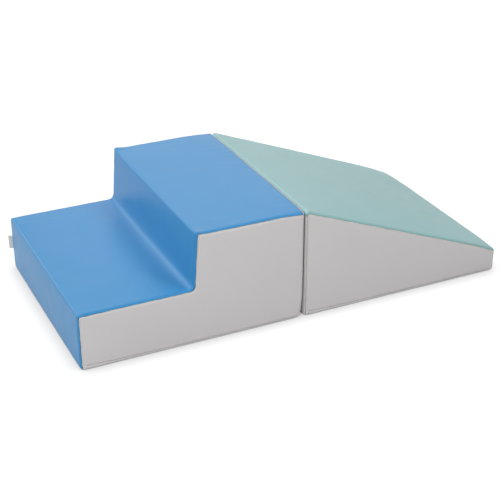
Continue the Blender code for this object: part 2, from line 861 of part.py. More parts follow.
low_cuts = spread(FRONT_X, RISER_X - RISER_RAKE, TREAD_COUNT)[1:]
high_cuts = spread(RISER_X, STEPS_BACK_X, TREAD_COUNT)[:-1]
steps_up_cuts = spread(0, LOW_STEP_HEIGHT, FRONT_COUNT)[1:-1]
steps_high_cuts = spread(LOW_STEP_HEIGHT, STEPS_HEIGHT, RISER_COUNT)[1:-1]

steps_base_foam = foam_block(
    "steps_foam_base_slab",
    foam_steps_base(),
    rounded_base_slab,
    (low_cuts + high_cuts, width_cuts, steps_up_cuts),
    crown_steps,
    parts,
)
cut(steps_base_foam, groove_cutter("steps_zip_groove_cutter", STEPS_ZIP_X, cutters))
dress(steps_base_foam, FOAM, 0.95)

steps_upper_foam = foam_block(
    "steps_foam_upper_slab",
    foam_steps_upper(),
    rounded_upper_slab,
    (high_cuts[1:], width_cuts, steps_high_cuts),
    crown_steps,
    parts,
)
dress(steps_upper_foam, FOAM, 0.95)

# Steps block: covers

steps_strip = strip_cover("steps_tread_strip", steps_strip_path, crown_steps, parts)
dress(steps_strip, BLUE, 0.45, smooth=True)
steps_back = strip_cover("steps_back_panel", steps_back_path, crown_steps, parts)
dress(steps_back, GREY, 0.45, smooth=True)
steps_side_up = steps_up_cuts + [LOW_STEP_HEIGHT - SEAM_DEPTH - SEAM_GAP] + steps_high_cuts
for word, side in (("near", -1), ("far", 1)):
    panel = side_cover(
        "steps_side_panel_" + word,
        side,
        (steps_strip_path, steps_back_path),
        low_cuts + high_cuts,
        steps_side_up,
        crown_steps,
        parts,
    )
    dress(panel, GREY, 0.45)

# Steps block: base, zip, hook strips and tag

base_end = BASE_ROLL_RADIUS + SEAM_GAP
half_slot = ZIP_SLOT_WIDTH / 2
panel = base_panel(
    "steps_base_panel_front", FRONT_X + base_end, STEPS_ZIP_X - half_slot, False, parts
)
dress(panel, BASE_GREY, 0.8)
panel = base_panel(
    "steps_base_panel_rear", STEPS_ZIP_X + half_slot, STEPS_BACK_X - base_end, True, parts
)
dress(panel, BASE_GREY, 0.8)
zip_fastener("steps", STEPS_ZIP_X, parts, cutters)

for word, height in (("low", TAPE_LOW_CENTRE), ("high", TAPE_HIGH_CENTRE)):
    hook_x = STEPS_BACK_X + CLEARANCE
    hook = box(
        "steps_hook_strip_" + word,
        (hook_x, -TAPE_LENGTH / 2, height - TAPE_HEIGHT / 2),
        (hook_x + TAPE_THICKNESS, TAPE_LENGTH / 2, height + TAPE_HEIGHT / 2),
        parts,
    )
    dress(hook, HOOK, 0.95)
    loop_x = RAMP_BACK_X - CLEARANCE - TAPE_THICKNESS
    loop = box(
        "ramp_loop_strip_" + word,
        (loop_x, -TAPE_LENGTH / 2, height - TAPE_HEIGHT / 2),
        (loop_x + TAPE_THICKNESS, TAPE_LENGTH / 2, height + TAPE_HEIGHT / 2),
        parts,
    )
    dress(loop, HOOK, 1)

dress(tag("steps_blank_tag", parts), TAG, 0.7)

# Ramp block: foam


def foam_ramp():
    angle = slope_angle()
    back = RAMP_BACK_X + FOAM_INSET
    lip = LIP_X - FOAM_INSET
    fall = math.tan(angle)
    drop = FOAM_INSET / math.cos(angle)
    top = RAMP_HEIGHT - FOAM_INSET * fall - drop
    low = LIP_HEIGHT + FOAM_INSET * fall - drop
    corners = [
        (lip - FOAM_BASE_RADIUS * 2, FOAM_BASE_Z),
        (back, FOAM_BASE_Z),
        (back, top),
        (lip, low),
        (lip, FOAM_BASE_Z),
        (lip - FOAM_BASE_RADIUS * 2, FOAM_BASE_Z),
    ]
    bends = [FOAM_BASE_RADIUS, FOAM_EDGE_RADIUS, FOAM_EDGE_RADIUS, FOAM_BASE_RADIUS]
    points = path(corners, bends, [1, BACK_COUNT, 1, LIP_COUNT, 1])
    return [(p.x, p.y) for p, normal in points[:-1]]


def rounded_everywhere(middle):
    return True


ramp_long_cuts = spread(RAMP_BACK_X, LIP_X, SLOPE_COUNT)[1:-1]
ramp_up_cuts = spread(0, RAMP_HEIGHT, BACK_COUNT)[1:-1]
ramp_foam = foam_block(
    "ramp_foam_wedge",
    foam_ramp(),
    rounded_everywhere,
    (ramp_long_cuts, width_cuts, ramp_up_cuts),
    crown_ramp,
    parts,
)
cut(ramp_foam, groove_cutter("ramp_zip_groove_cutter", RAMP_ZIP_X, cutters))
dress(ramp_foam, FOAM, 0.95)

# Ramp block: covers

slope_strip = strip_cover("ramp_slope_strip", slope_strip_path, crown_ramp, parts)
dress(slope_strip, MINT, 0.45, smooth=True)
ramp_back = strip_cover("ramp_back_panel", ramp_back_path, crown_ramp, parts)
dress(ramp_back, GREY, 0.45, smooth=True)
ramp_lip = strip_cover("ramp_lip_panel", lip_path, crown_ramp, parts)
dress(ramp_lip, GREY, 0.45, smooth=True)
for word, side in (("near", -1), ("far", 1)):
    panel = side_cover(
        "ramp_side_panel_" + word,
        side,
        (ramp_back_path, slope_strip_path, lip_path),
        ramp_long_cuts,
        ramp_up_cuts,
        crown_ramp,
        parts,
    )
    dress(panel, GREY, 0.45)

# Ramp block: base and zip

panel = base_panel(
    "ramp_base_panel_front", RAMP_BACK_X + base_end, RAMP_ZIP_X - half_slot, False, parts
)
dress(panel, BASE_GREY, 0.8)
panel = base_panel(
    "ramp_base_panel_rear", RAMP_ZIP_X + half_slot, LIP_X - base_end, True, parts
)
dress(panel, BASE_GREY, 0.8)
zip_fastener("ramp", RAMP_ZIP_X, parts, cutters)

# The pieces of each block ride on its own empty

for block, place in (
    ("steps_block", Vector((FRONT_X, 0, 0))),
    ("ramp_block", Vector((RAMP_BACK_X, 0, 0))),
):
    prefix = block.split("_")[0] + "_"
    pieces = [obj for obj in parts.objects if obj.name.startswith(prefix)]
    frame = carry(block, place, parts)
    for obj in pieces:
        if not obj.name.endswith("_zip_slider"):
            move_origin(obj, place.copy())
        obj.parent = frame
        obj.location = obj.location - place

for cutter in cutters.objects:
    cutter.hide_render = True
    cutter.display_type = "WIRE"
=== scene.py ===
import math
from collections import Counter
import bmesh
import bpy
import numpy as np
from mathutils import Matrix, Vector
from mathutils.bvhtree import BVHTree
from mathutils.kdtree import KDTree


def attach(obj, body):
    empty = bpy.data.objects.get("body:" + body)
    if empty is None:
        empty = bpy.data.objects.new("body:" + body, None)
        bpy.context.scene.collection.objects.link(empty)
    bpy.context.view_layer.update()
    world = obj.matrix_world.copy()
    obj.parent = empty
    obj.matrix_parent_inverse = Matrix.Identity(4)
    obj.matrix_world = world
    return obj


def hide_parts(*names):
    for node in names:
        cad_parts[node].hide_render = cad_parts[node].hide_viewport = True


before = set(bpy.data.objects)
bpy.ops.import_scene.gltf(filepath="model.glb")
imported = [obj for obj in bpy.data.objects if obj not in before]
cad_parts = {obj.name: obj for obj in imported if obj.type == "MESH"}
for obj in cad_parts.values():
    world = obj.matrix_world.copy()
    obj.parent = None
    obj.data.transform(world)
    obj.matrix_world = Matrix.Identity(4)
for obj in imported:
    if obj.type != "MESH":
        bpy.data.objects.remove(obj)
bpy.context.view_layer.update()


# Foam core of the steps block: two slabs of firm polyurethane foam, cut square and
# glued one on the other. The covers pull their edges round and their faces stay a
# little crowned, so the foam is modelled with the same swell as the covers.

BLOCK_WIDTH = 0.608
HALF_WIDTH = BLOCK_WIDTH / 2
STEPS_LENGTH = 0.614
RAMP_LENGTH = 0.606
JOINT_GAP = 0.0037
STEPS_HEIGHT = 0.307
LOW_STEP = 0.154
LOW_TREAD = 0.315
RISER_RAKE = 0.011
SIDE_ROLL = 0.0120
FOAM_INSET = 0.0016
FOAM_BASE_RADIUS = 0.0125
FOAM_EDGE_RADIUS = 0.0125
FOAM_CREAM = (0.80, 0.76, 0.62)
FOAM_YELLOW_SHARES = (0.96, 0.93, 0.82)
PORE_DEPTH = 0.0006
BASE_LIFT = 0.0003
FRONT_X = -(STEPS_LENGTH + JOINT_GAP + RAMP_LENGTH) / 2
RISER_X = FRONT_X + LOW_TREAD
STEPS_BACK_X = FRONT_X + STEPS_LENGTH
RISER_FOOT_X = RISER_X - RISER_RAKE

TREAD_CROWN = 0.0045
FRONT_CROWN = 0.0035
RISER_CROWN = 0.0032
SIDE_CROWN = 0.0035
SIDE_CROWN_REACH = 0.055
CORNER_DROOP = 0.0045
CORNER_DROOP_REACH = 0.045
CORNER_PEAK = 0.0045
CORNER_PEAK_REACH = 0.020
FOOT_TUCK = 0.0050
FOOT_LIFT = 0.0022
FOOT_TUCK_REACH = 0.040

STEPS_OUTLINE = [
    (FRONT_X, 0),
    (FRONT_X, LOW_STEP),
    (RISER_X, LOW_STEP),
    (RISER_X, STEPS_HEIGHT),
    (STEPS_BACK_X, STEPS_HEIGHT),
    (STEPS_BACK_X, 0),
]


def bump(value, low, high):
    """A flat-topped swell that is 0 at low and high and 1 in the middle."""
    share = np.clip((value - low) / (high - low), 0, 1)
    return 1 - np.abs(2 * share - 1) ** 3


def inside_distance(x, z, corners):
    """A smooth measure of how far points are inside an outline."""
    total = 0
    for a, b in zip(corners, corners[1:] + corners[:1]):
        run = np.subtract(b, a)
        along = ((x - a[0]) * run[0] + (z - a[1]) * run[1]) / (run @ run)
        along = np.clip(along, 0, 1)
        gap = np.hypot(x - a[0] - run[0] * along, z - a[1] - run[1] * along)
        total = total + (SIDE_CROWN_REACH / np.maximum(gap, BASE_LIFT)) ** 3
    return SIDE_CROWN_REACH / total ** (1 / 3)


def side_swell(points, corners):
    """Sideways swell of the side faces, which starts at the seams."""
    x, y, z = points.T
    inside = inside_distance(x, z, corners)
    share = (np.abs(y) / HALF_WIDTH) ** 4
    swell = SIDE_CROWN * share * (1 - np.exp(-inside / SIDE_CROWN_REACH))
    return np.copysign(swell, y)


def corner_droop(points, x, height):
    """How far a top corner is worn down by the pull of its three seams."""
    across = (np.abs(points[:, 1]) / HALF_WIDTH) ** 8
    along = np.exp(-((points[:, 0] - x) / CORNER_DROOP_REACH) ** 2)
    return CORNER_DROOP * across * along * np.clip(points[:, 2] / height, 0, 1) ** 3


def corner_peak(points):
    """How far the tight seams pull the top front corners of the high step up."""
    along = np.exp(-((points[:, 0] - RISER_X) / CORNER_PEAK_REACH) ** 2)
    across = np.exp(-((HALF_WIDTH - np.abs(points[:, 1])) / CORNER_PEAK_REACH) ** 2)
    high = np.clip((points[:, 2] - LOW_STEP) / (STEPS_HEIGHT - LOW_STEP), 0, 1)
    return CORNER_PEAK * along * across * high ** 6


def foot_tuck(points):
    """How the near foot corner beside the joint is tucked back and held off the floor."""
    across = np.exp(-((points[:, 1] + HALF_WIDTH) / (FOOT_TUCK_REACH * 2)) ** 2)
    along = np.exp(-((points[:, 0] - STEPS_BACK_X) / FOOT_TUCK_REACH) ** 2)
    tuck = np.exp(-(points[:, 2] / FOOT_TUCK_REACH) ** 2) * along * across
    lift = np.exp(-(points[:, 2] / FOOT_TUCK_REACH) ** 2) * along ** 3 * across ** 3
    moved = np.zeros_like(points)
    moved[:, 0] = -FOOT_TUCK * tuck
    moved[:, 2] = FOOT_LIFT * lift
    return moved


def swell_steps(points):
    """Points of the steps block moved out as the stuffed cover bulges."""
    x, y, z = points.T
    across = bump(y, -HALF_WIDTH, HALF_WIDTH)
    low = np.clip(z / LOW_STEP, 0, 1) ** 2
    high = np.clip((z - LOW_STEP) / (STEPS_HEIGHT - LOW_STEP), 0, 1) ** 2
    lift = TREAD_CROWN * np.where(
        x < RISER_X,
        bump(x, FRONT_X, RISER_FOOT_X) * low,
        bump(x, RISER_X, STEPS_BACK_X) * high,
    )
    near_front = np.clip(1 - (x - FRONT_X) / LOW_TREAD, 0, 1) ** 2
    near_riser = np.clip(1 - (x - RISER_X) / (STEPS_LENGTH - LOW_TREAD), 0, 1) ** 2
    push = FRONT_CROWN * bump(z, 0, LOW_STEP) * near_front
    push = push + RISER_CROWN * bump(z, LOW_STEP, STEPS_HEIGHT) * near_riser
    lift = lift * across + corner_peak(points)
    lift = lift - corner_droop(points, STEPS_BACK_X, STEPS_HEIGHT)
    swell = np.stack([-push * across, side_swell(points, STEPS_OUTLINE), lift], 1)
    return points + swell + foot_tuck(points)


def round_bend(radius, turn_deg=90):
    """A true arc as a bend: its tangent length and the fullness of its curve."""
    half = math.radians(turn_deg) / 2
    return radius * math.tan(half), math.cos(half)


def trace(corners, bends, runs, bend_count=8):
    """Points and outward normals along an outline that has its outside on its left.

    Each inner corner has a bend, and each straight run has a count of parts.
    """
    places = np.array(corners, float)
    steps = np.diff(places, axis=0)
    headings = steps / np.linalg.norm(steps, axis=1)[:, None]
    left = np.stack([-headings[:, 1], headings[:, 0]], 1)
    points = []
    normals = []
    start = places[0]
    for k, heading in enumerate(headings):
        end = places[k + 1]
        if k < len(bends):
            end = end - heading * bends[k][0]
        for share in np.linspace(0, 1, runs[k] + 1)[1 if points else 0:]:
            points.append(start + (end - start) * share)
            normals.append(left[k])
        if k < len(bends):
            tangent, full = bends[k]
            corner = places[k + 1]
            after = corner + headings[k + 1] * tangent
            for t in np.linspace(0, 1, bend_count + 1)[1:]:
                a = (end * (1 - t) + corner * full * t) / (1 - t + full * t)
                b = (corner * full * (1 - t) + after * t) / (full * (1 - t) + t)
                share = (full * (1 - t) + t) * t
                share = share / (share + (1 - t + full * t) * (1 - t))
                points.append(a + (b - a) * share)
                along = (b - a) / max(np.linalg.norm(b - a), 1e-9)
                normals.append(np.array([-along[1], along[0]]))
            start = after
    return np.array(points), np.array(normals)


def new_piece(name, mesh, material, smooth=True):
    """An object in the scene with its mesh and its one material."""
    obj = bpy.data.objects.new(name, mesh)
    bpy.context.scene.collection.objects.link(obj)
    mesh.materials.clear()
    mesh.materials.append(material)
    mesh.polygons.foreach_set("use_smooth", [smooth] * len(mesh.polygons))
    return obj


def cut_planes(bm, axis, places):
    """Cut a mesh by planes square to an axis."""
    for place in places:
        centre = [0, 0, 0]
        centre[axis] = place
        normal = [0, 0, 0]
        normal[axis] = 1
        bmesh.ops.bisect_plane(
            bm,
            geom=bm.verts[:] + bm.edges[:] + bm.faces[:],
            plane_co=centre,
            plane_no=normal,
            dist=BASE_LIFT / 10,
        )


def foam_block(name, outline, keep_square, swell, material, cell=0.020):
    """Foam cut to an outline, with its free edges rounded and its faces crowned."""
    wide = HALF_WIDTH - FOAM_INSET
    bm = bmesh.new()
    face = bm.faces.new([bm.verts.new((x, -wide, z)) for x, z in outline])
    grown = bmesh.ops.extrude_face_region(bm, geom=[face])
    for element in grown["geom"]:
        if isinstance(element, bmesh.types.BMVert):
            element.co.y = wide
    bmesh.ops.recalc_face_normals(bm, faces=bm.faces[:])
    edges = [
        e for e in bm.edges
        if abs(e.verts[0].co.y - e.verts[1].co.y) < BASE_LIFT
        and not keep_square((e.verts[0].co + e.verts[1].co) / 2)
    ]
    bmesh.ops.bevel(
        bm,
        geom=edges,
        offset=SIDE_ROLL - FOAM_INSET,
        offset_type="OFFSET",
        segments=4,
        profile=0.5,
        affect="EDGES",
        clamp_overlap=False,
    )
    for axis in range(3):
        ends = [v.co[axis] for v in bm.verts]
        count = round((max(ends) - min(ends)) / cell)
        cut_planes(bm, axis, np.linspace(min(ends), max(ends), count + 1)[1:-1])
    bmesh.ops.remove_doubles(bm, verts=bm.verts[:], dist=BASE_LIFT / 10)
    bmesh.ops.triangulate(bm, faces=[f for f in bm.faces if len(f.verts) > 4])
    places = np.array([v.co for v in bm.verts])
    for vert, place in zip(bm.verts, swell(places)):
        vert.co = place
    mesh = bpy.data.meshes.new(name)
    bm.to_mesh(mesh)
    bm.free()
    return new_piece(name, mesh, material)


def node_helper(tree):
    """A helper that adds a node to a tree, sets it up and links its inputs.

    A setting that starts with in_ is an input's value. A link is named after its input,
    or i and the input's number.
    """
    def node(kind, settings=None, **links):
        made = tree.nodes.new(kind)
        for key, value in (settings or {}).items():
            if key.startswith("in_"):
                made.inputs[key[3:].replace("_", " ")].default_value = value
            else:
                setattr(made, key, value)
        for key, source in links.items():
            which = int(key[1:]) if key[1:].isdigit() else key.replace("_", " ")
            tree.links.new(source, made.inputs[which])
        return made

    return node


def new_finish(name, colour, roughness):
    """A material with its shader, its node helper and its link function."""
    material = bpy.data.materials.new(name)
    material.use_nodes = True
    tree = material.node_tree
    shader = tree.nodes["Principled BSDF"]
    shader.inputs["Base Color"].default_value = (*colour, 1)
    shader.inputs["Roughness"].default_value = roughness
    return material, shader, node_helper(tree), tree.links.new


def foam_finish(name, colour):
    """Open-cell foam: dull, with fine pores and a faint yellowing."""
    material, shader, node, link = new_finish(name, colour, 0.95)
    place = node("ShaderNodeTexCoord").outputs["Object"]
    pores = node("ShaderNodeTexVoronoi", {"in_Scale": 700}, Vector=place)
    stain = node("ShaderNodeTexNoise", {"in_Scale": 9, "in_Detail": 4}, Vector=place)
    shade = node("ShaderNodeMapRange", {"in_From_Min": 0.3, "in_From_Max": 0.7}, Value=stain.outputs["Fac"])
    mix = node("ShaderNodeMix", {"data_type": "RGBA"}, i0=shade.outputs["Result"])
    mix.inputs[6].default_value = (*colour, 1)
    mix.inputs[7].default_value = (*[c * share for c, share in zip(colour, FOAM_YELLOW_SHARES)], 1)
    link(mix.outputs[2], shader.inputs["Base Color"])
    pitted = {"in_Strength": 0.5, "in_Distance": PORE_DEPTH}
    relief = node("ShaderNodeBump", pitted, Height=pores.outputs["Distance"])
    link(relief.outputs["Normal"], shader.inputs["Normal"])
    return material


foam = foam_finish("foam", FOAM_CREAM)
foam_top = LOW_STEP - FOAM_INSET
foam_base = BASE_LIFT + FOAM_INSET
foam_front = FRONT_X + FOAM_INSET
foam_back = STEPS_BACK_X - FOAM_INSET
lower = trace(
    [
        (foam_back, foam_top),
        (foam_back, foam_base),
        (foam_front, foam_base),
        (foam_front, foam_top),
        (RISER_FOOT_X, foam_top),
    ],
    [round_bend(FOAM_BASE_RADIUS), round_bend(FOAM_BASE_RADIUS), round_bend(FOAM_EDGE_RADIUS)],
    [1, 1, 1, 1],
    bend_count=5,
)[0]
lower_slab = foam_block(
    "steps_foam_lower",
    lower,
    lambda middle: middle.x > RISER_FOOT_X and middle.z > foam_top - BASE_LIFT,
    swell_steps,
    foam,
)
shift = FOAM_INSET
upper = trace(
    [
        (RISER_FOOT_X + shift, foam_top + BASE_LIFT),
        (RISER_X + shift, STEPS_HEIGHT - FOAM_INSET),
        (foam_back, STEPS_HEIGHT - FOAM_INSET),
        (foam_back, foam_top + BASE_LIFT),
    ],
    [round_bend(FOAM_EDGE_RADIUS), round_bend(FOAM_EDGE_RADIUS)],
    [1, 1, 1],
    bend_count=5,
)[0]
upper_slab = foam_block(
    "steps_foam_upper",
    upper,
    lambda middle: middle.z < LOW_STEP,
    swell_steps,
    foam,
)
for piece, node_name in ((lower_slab, "steps_foam_base_slab"), (upper_slab, "steps_foam_upper_slab")):
    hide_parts(node_name)
    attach(piece, "steps_block")


# Blue tread strip: one piece of coated vinyl from the base up the front, over the low
# tread, up the riser and over the top. It rolls over both sides to a turned seam, and
# it bridges the inner corner in a soft roll instead of following the foam.

BLUE = (0.038, 0.268, 0.571)
VINYL_THICKNESS = 0.0008
EDGE_RADIUS = 0.0062
EDGE_RADIUS_AT_SEAM = 0.0070
BACK_EDGE_RADIUS = 0.0035
SEAM_RUN = 0.0005
BASE_ROLL = 0.0065
SEAM_ANGLE = math.radians(45)
SEAM_DEPTH = SIDE_ROLL * (1 - math.cos(SEAM_ANGLE))
SEAM_INSET = SIDE_ROLL * (1 - math.sin(SEAM_ANGLE))
SEAM_GAP = 0.0006
SEAM_LIP = 0.0016
ALLOWANCE = 0.007
BRIDGE_AT_SEAM = 0.016
BRIDGE_MIDDLE = 0.076
FULLNESS_AT_SEAM = 1.0
FULLNESS_MIDDLE = 2.2
FULL_SHARE = 0.62
CELL = 0.0052
CLOUD_SHARES = (0.965, 1.035)
PAINTED_CREVICE_SHADE_DISTANCE = 0.0045
GRAIN = 0.10
GRAIN_DEPTH = 0.0004
PUCKER = 0.00035
PUCKER_PITCH = 0.019
BASE_ROLL_PARTS = 6
RISER_TOP_TURN = 86
TURN_ROWS = (0.06, 0.2, 0.4, 0.65, 1)


def vinyl_finish(name, colour, shine):
    """Coated vinyl: soft sheen, fine embossed grain, faint cloudiness, and painted shade in seams and
    crevices.
    """
    material, shader, node, link = new_finish(name, colour, 0.42)
    shader.inputs["Specular IOR Level"].default_value = shine
    place = node("ShaderNodeTexCoord").outputs["Object"]
    cloud = node("ShaderNodeTexNoise", {"in_Scale": 7, "in_Detail": 5}, Vector=place)
    mix = node("ShaderNodeMix", {"data_type": "RGBA"}, i0=cloud.outputs["Fac"])
    mix.inputs[6].default_value = (*[c * CLOUD_SHARES[0] for c in colour], 1)
    mix.inputs[7].default_value = (*[min(1, c * CLOUD_SHARES[1]) for c in colour], 1)
    # An occlusion pass darkens the base colour in seams, grooves and narrow gaps between parts: this is
    # painted shade.
    crevice = node("ShaderNodeAmbientOcclusion", {"samples": 6, "in_Distance": PAINTED_CREVICE_SHADE_DISTANCE})
    shaded_to_open = {"in_From_Min": 0.40, "in_From_Max": 0.90, "in_To_Min": 0.25}
    painted_seam_shade = node("ShaderNodeMapRange", shaded_to_open, Value=crevice.outputs["AO"])
    scale = {"operation": "SCALE"}
    tint = node("ShaderNodeVectorMath", scale, i0=mix.outputs[2], Scale=painted_seam_shade.outputs["Result"])
    link(tint.outputs["Vector"], shader.inputs["Base Color"])
    smudge = node("ShaderNodeTexNoise", {"in_Scale": 23, "in_Detail": 3}, Vector=place)
    rough = node("ShaderNodeMapRange", {"in_To_Min": 0.33, "in_To_Max": 0.44}, Value=smudge.outputs["Fac"])
    link(rough.outputs["Result"], shader.inputs["Roughness"])
    cells = node("ShaderNodeTexVoronoi", {"in_Scale": 850, "feature": "SMOOTH_F1"}, Vector=place)
    fine = node("ShaderNodeTexNoise", {"in_Scale": 260, "in_Detail": 3}, Vector=place)
    add = {"operation": "MULTIPLY_ADD"}
    total = node("ShaderNodeMath", add, i0=fine.outputs["Fac"], i2=cells.outputs["Distance"])
    total.inputs[1].default_value = 1.5
    embossed = {"in_Strength": GRAIN, "in_Distance": GRAIN_DEPTH}
    relief = node("ShaderNodeBump", embossed, Height=total.outputs["Value"])
    link(relief.outputs["Normal"], shader.inputs["Normal"])
    return material


def ripple(s, seed, pitch):
    """A steady irregular wave along a seam, between about -1 and 1."""
    value = 0
    for k, (ratio, weight) in enumerate(((1, 0.5), (1.73, 0.35), (0.41, 0.4), (2.9, 0.2))):
        phase = seed * 2.399 + k * 1.7
        value = value + weight * np.sin(s * ratio * 2 * np.pi / pitch + phase)
    return value


def base_heights():
    """Heights of the rows where a wall rolls in under the block."""
    angles = np.pi / 2 * (1 - np.arange(BASE_ROLL_PARTS) / BASE_ROLL_PARTS)
    return BASE_LIFT + BASE_ROLL * (1 - np.sin(angles))


def base_inset(z):
    """How far a wall has rolled in under the block at a height."""
    drop = np.clip(BASE_ROLL - (z - BASE_LIFT), 0, BASE_ROLL)
    return BASE_ROLL - np.sqrt(BASE_ROLL ** 2 - drop ** 2)


def wall_foot(x, side, rising):
    """The rows of a wall's foot, from the floor up or from the wall down."""
    heights = base_heights() if rising else base_heights()[::-1]
    points = np.stack([np.full_like(heights, x), heights], 1)
    return points, np.tile([side, 0.0], (len(heights), 1))


def joined(*parts):
    """One outline made of several that follow each other."""
    return np.concatenate([p for p, n in parts]), np.concatenate([n for p, n in parts])


def edge_radius(y, middle=EDGE_RADIUS):
    """The covers' edges are crisp along a face and blunter down in a side seam."""
    share = np.clip((HALF_WIDTH - SEAM_INSET - abs(y)) / (SIDE_ROLL - SEAM_INSET), 0, 1)
    drop = 1 - math.sqrt(1 - (1 - share) ** 2)
    return middle + (EDGE_RADIUS_AT_SEAM - middle) * drop


def back_seam(y):
    """How far in from the back the top of the back panel meets the tread strip."""
    return edge_radius(y, BACK_EDGE_RADIUS) + SEAM_RUN


def distances(points):
    """How far along a run of points each one is."""
    return np.concatenate([[0], np.cumsum(np.linalg.norm(np.diff(points, axis=0), axis=1))])


def turned_in(line, start, end):
    """An outline whose marked ends dip into their seam, with rows close enough for it."""
    points, normals = line
    along = distances(points)
    near = SEAM_LIP * np.array(TURN_ROWS)
    extra = np.concatenate([near if start else [], along[-1] - near if end else []])
    rows = np.sort(np.concatenate([along, extra]))
    points = np.stack([np.interp(rows, along, points[:, k]) for k in range(2)], 1)
    normals = np.stack([np.interp(rows, along, normals[:, k]) for k in range(2)], 1)
    normals /= np.linalg.norm(normals, axis=1)[:, None]
    from_seam = np.minimum(rows if start else SEAM_LIP, rows[-1] - rows if end else SEAM_LIP)
    turn = np.clip(1 - from_seam / SEAM_LIP, 0, 1)
    points = points - normals * (SEAM_LIP * (1 - np.sqrt(1 - turn ** 2)))[:, None]
    return points, normals


def steps_strip_line(y):
    """The blue strip's outline at y: base, front, low tread, riser and top."""
    share = np.clip(1 - abs(y) / HALF_WIDTH, 0, 1)
    reach = BRIDGE_AT_SEAM + (BRIDGE_MIDDLE - BRIDGE_AT_SEAM) * math.sin(math.pi / 2 * share)
    full = FULLNESS_AT_SEAM + (FULLNESS_MIDDLE - FULLNESS_AT_SEAM) * min(1, share / FULL_SHARE)
    foot = BASE_LIFT + BASE_ROLL
    body = trace(
        [
            (FRONT_X, foot),
            (FRONT_X, LOW_STEP),
            (RISER_FOOT_X, LOW_STEP),
            (RISER_X, STEPS_HEIGHT),
            (STEPS_BACK_X - back_seam(y) - SEAM_GAP, STEPS_HEIGHT),
        ],
        [round_bend(edge_radius(y)), (reach, full), round_bend(edge_radius(y), RISER_TOP_TURN)],
        [26, 50, 20, 52],
        bend_count=10,
    )
    return joined(wall_foot(FRONT_X, -1, True), body)


def roll_stations():
    """(inward, depth, angle) round an edge from inside the seam up to the flat face."""
    start = SEAM_ANGLE - SEAM_LIP / SIDE_ROLL
    outward = -np.array([math.sin(start), math.cos(start)])
    onward = np.array([-math.cos(start), math.sin(start)])
    first = SIDE_ROLL * np.array([1 - math.sin(start), 1 - math.cos(start)])
    centre = first - outward * SEAM_LIP
    lip = [
        centre + SEAM_LIP * (outward * math.cos(a) + onward * math.sin(a))
        for a in np.linspace(np.pi / 2, 0, 6)
    ]
    tucked = lip[0] + ALLOWANCE * np.array([math.sin(SEAM_ANGLE), math.cos(SEAM_ANGLE)])
    stations = [(*place, SEAM_ANGLE) for place in [tucked] + lip]
    for a in np.linspace(start, 0, 9)[1:]:
        stations.append((SIDE_ROLL * (1 - math.sin(a)), SIDE_ROLL * (1 - math.cos(a)), a))
    return np.array(stations)


def grid_faces(columns, rows):
    """Quads between the points of neighbouring columns."""
    return [
        (c * rows + r, (c + 1) * rows + r, (c + 1) * rows + r + 1, c * rows + r + 1)
        for c in range(columns - 1) for r in range(rows - 1)
    ]


def strip_mesh(name, line_at, seams, swell, seed):
    """A strip of cover that follows an outline and rolls down over both side edges.

    seams says whether its start and its end turn into a seam.
    """
    edge = roll_stations()
    flat = HALF_WIDTH - SIDE_ROLL
    count = round(2 * flat / CELL)
    middle = np.linspace(-flat, flat, count + 1)[1:-1]
    ys = np.concatenate([-HALF_WIDTH + edge[:, 0], middle, (HALF_WIDTH - edge[:, 0])[::-1]])
    depths = np.concatenate([edge[:, 1], np.zeros(len(middle)), edge[::-1, 1]])
    angles = np.concatenate([edge[:, 2], np.zeros(len(middle)), edge[::-1, 2]])
    columns = len(ys)
    lines = [turned_in(line_at(y), *seams) for y in ys]
    rows = len(lines[0][0])
    grid = np.zeros((columns, rows, 3))
    for c, (y, depth, angle) in enumerate(zip(ys, depths, angles)):
        points, normals = lines[c]
        along = distances(points)
        side = -1 if y < 0 else 1
        near_seam = min(1, depth / SEAM_DEPTH) ** 2
        wave = ripple(along, seed + side, PUCKER_PITCH) * PUCKER * near_seam
        inset = base_inset(points[:, 1])
        out = depth + wave + np.cos(angle) * inset
        grid[c, :, 0] = points[:, 0] - normals[:, 0] * out
        grid[c, :, 1] = y - side * np.sin(angle) * inset
        grid[c, :, 2] = points[:, 1] - normals[:, 1] * out
    places = swell(grid.reshape(-1, 3))
    mesh = bpy.data.meshes.new(name)
    mesh.from_pydata(places.tolist(), [], grid_faces(columns, rows))
    bm = bmesh.new()
    bm.from_mesh(mesh)
    bmesh.ops.recalc_face_normals(bm, faces=bm.faces[:])
    centre = Vector(places[(columns // 2) * rows + rows // 2])
    middle_face = min(bm.faces, key=lambda f: (f.calc_center_median() - centre).length)
    outward_x, outward_z = lines[columns // 2][1][rows // 2]
    if middle_face.normal.dot(Vector((outward_x, 0, outward_z))) < 0:
        bmesh.ops.reverse_faces(bm, faces=bm.faces[:])
    bm.to_mesh(mesh)
    bm.free()
    return mesh


def thicken(obj):
    """Give a cover the thickness of its vinyl, inward."""
    solidify = obj.modifiers.new("vinyl thickness", "SOLIDIFY")
    solidify.thickness = VINYL_THICKNESS
    solidify.offset = -1


CLOTH_EASE = 0.010
CLOTH_STEPS = 12
CLOTH_GRIP = 0.06
CLOTH_SINK = 0.0006
CLOTH_RISE = 0.0014
EASE_REACH = 0.060
WRINKLE_REACH = 0.042
START_NOISE = 0.0001
SEAM_ZONE = 0.016
LOOSE_ZONE = 0.030


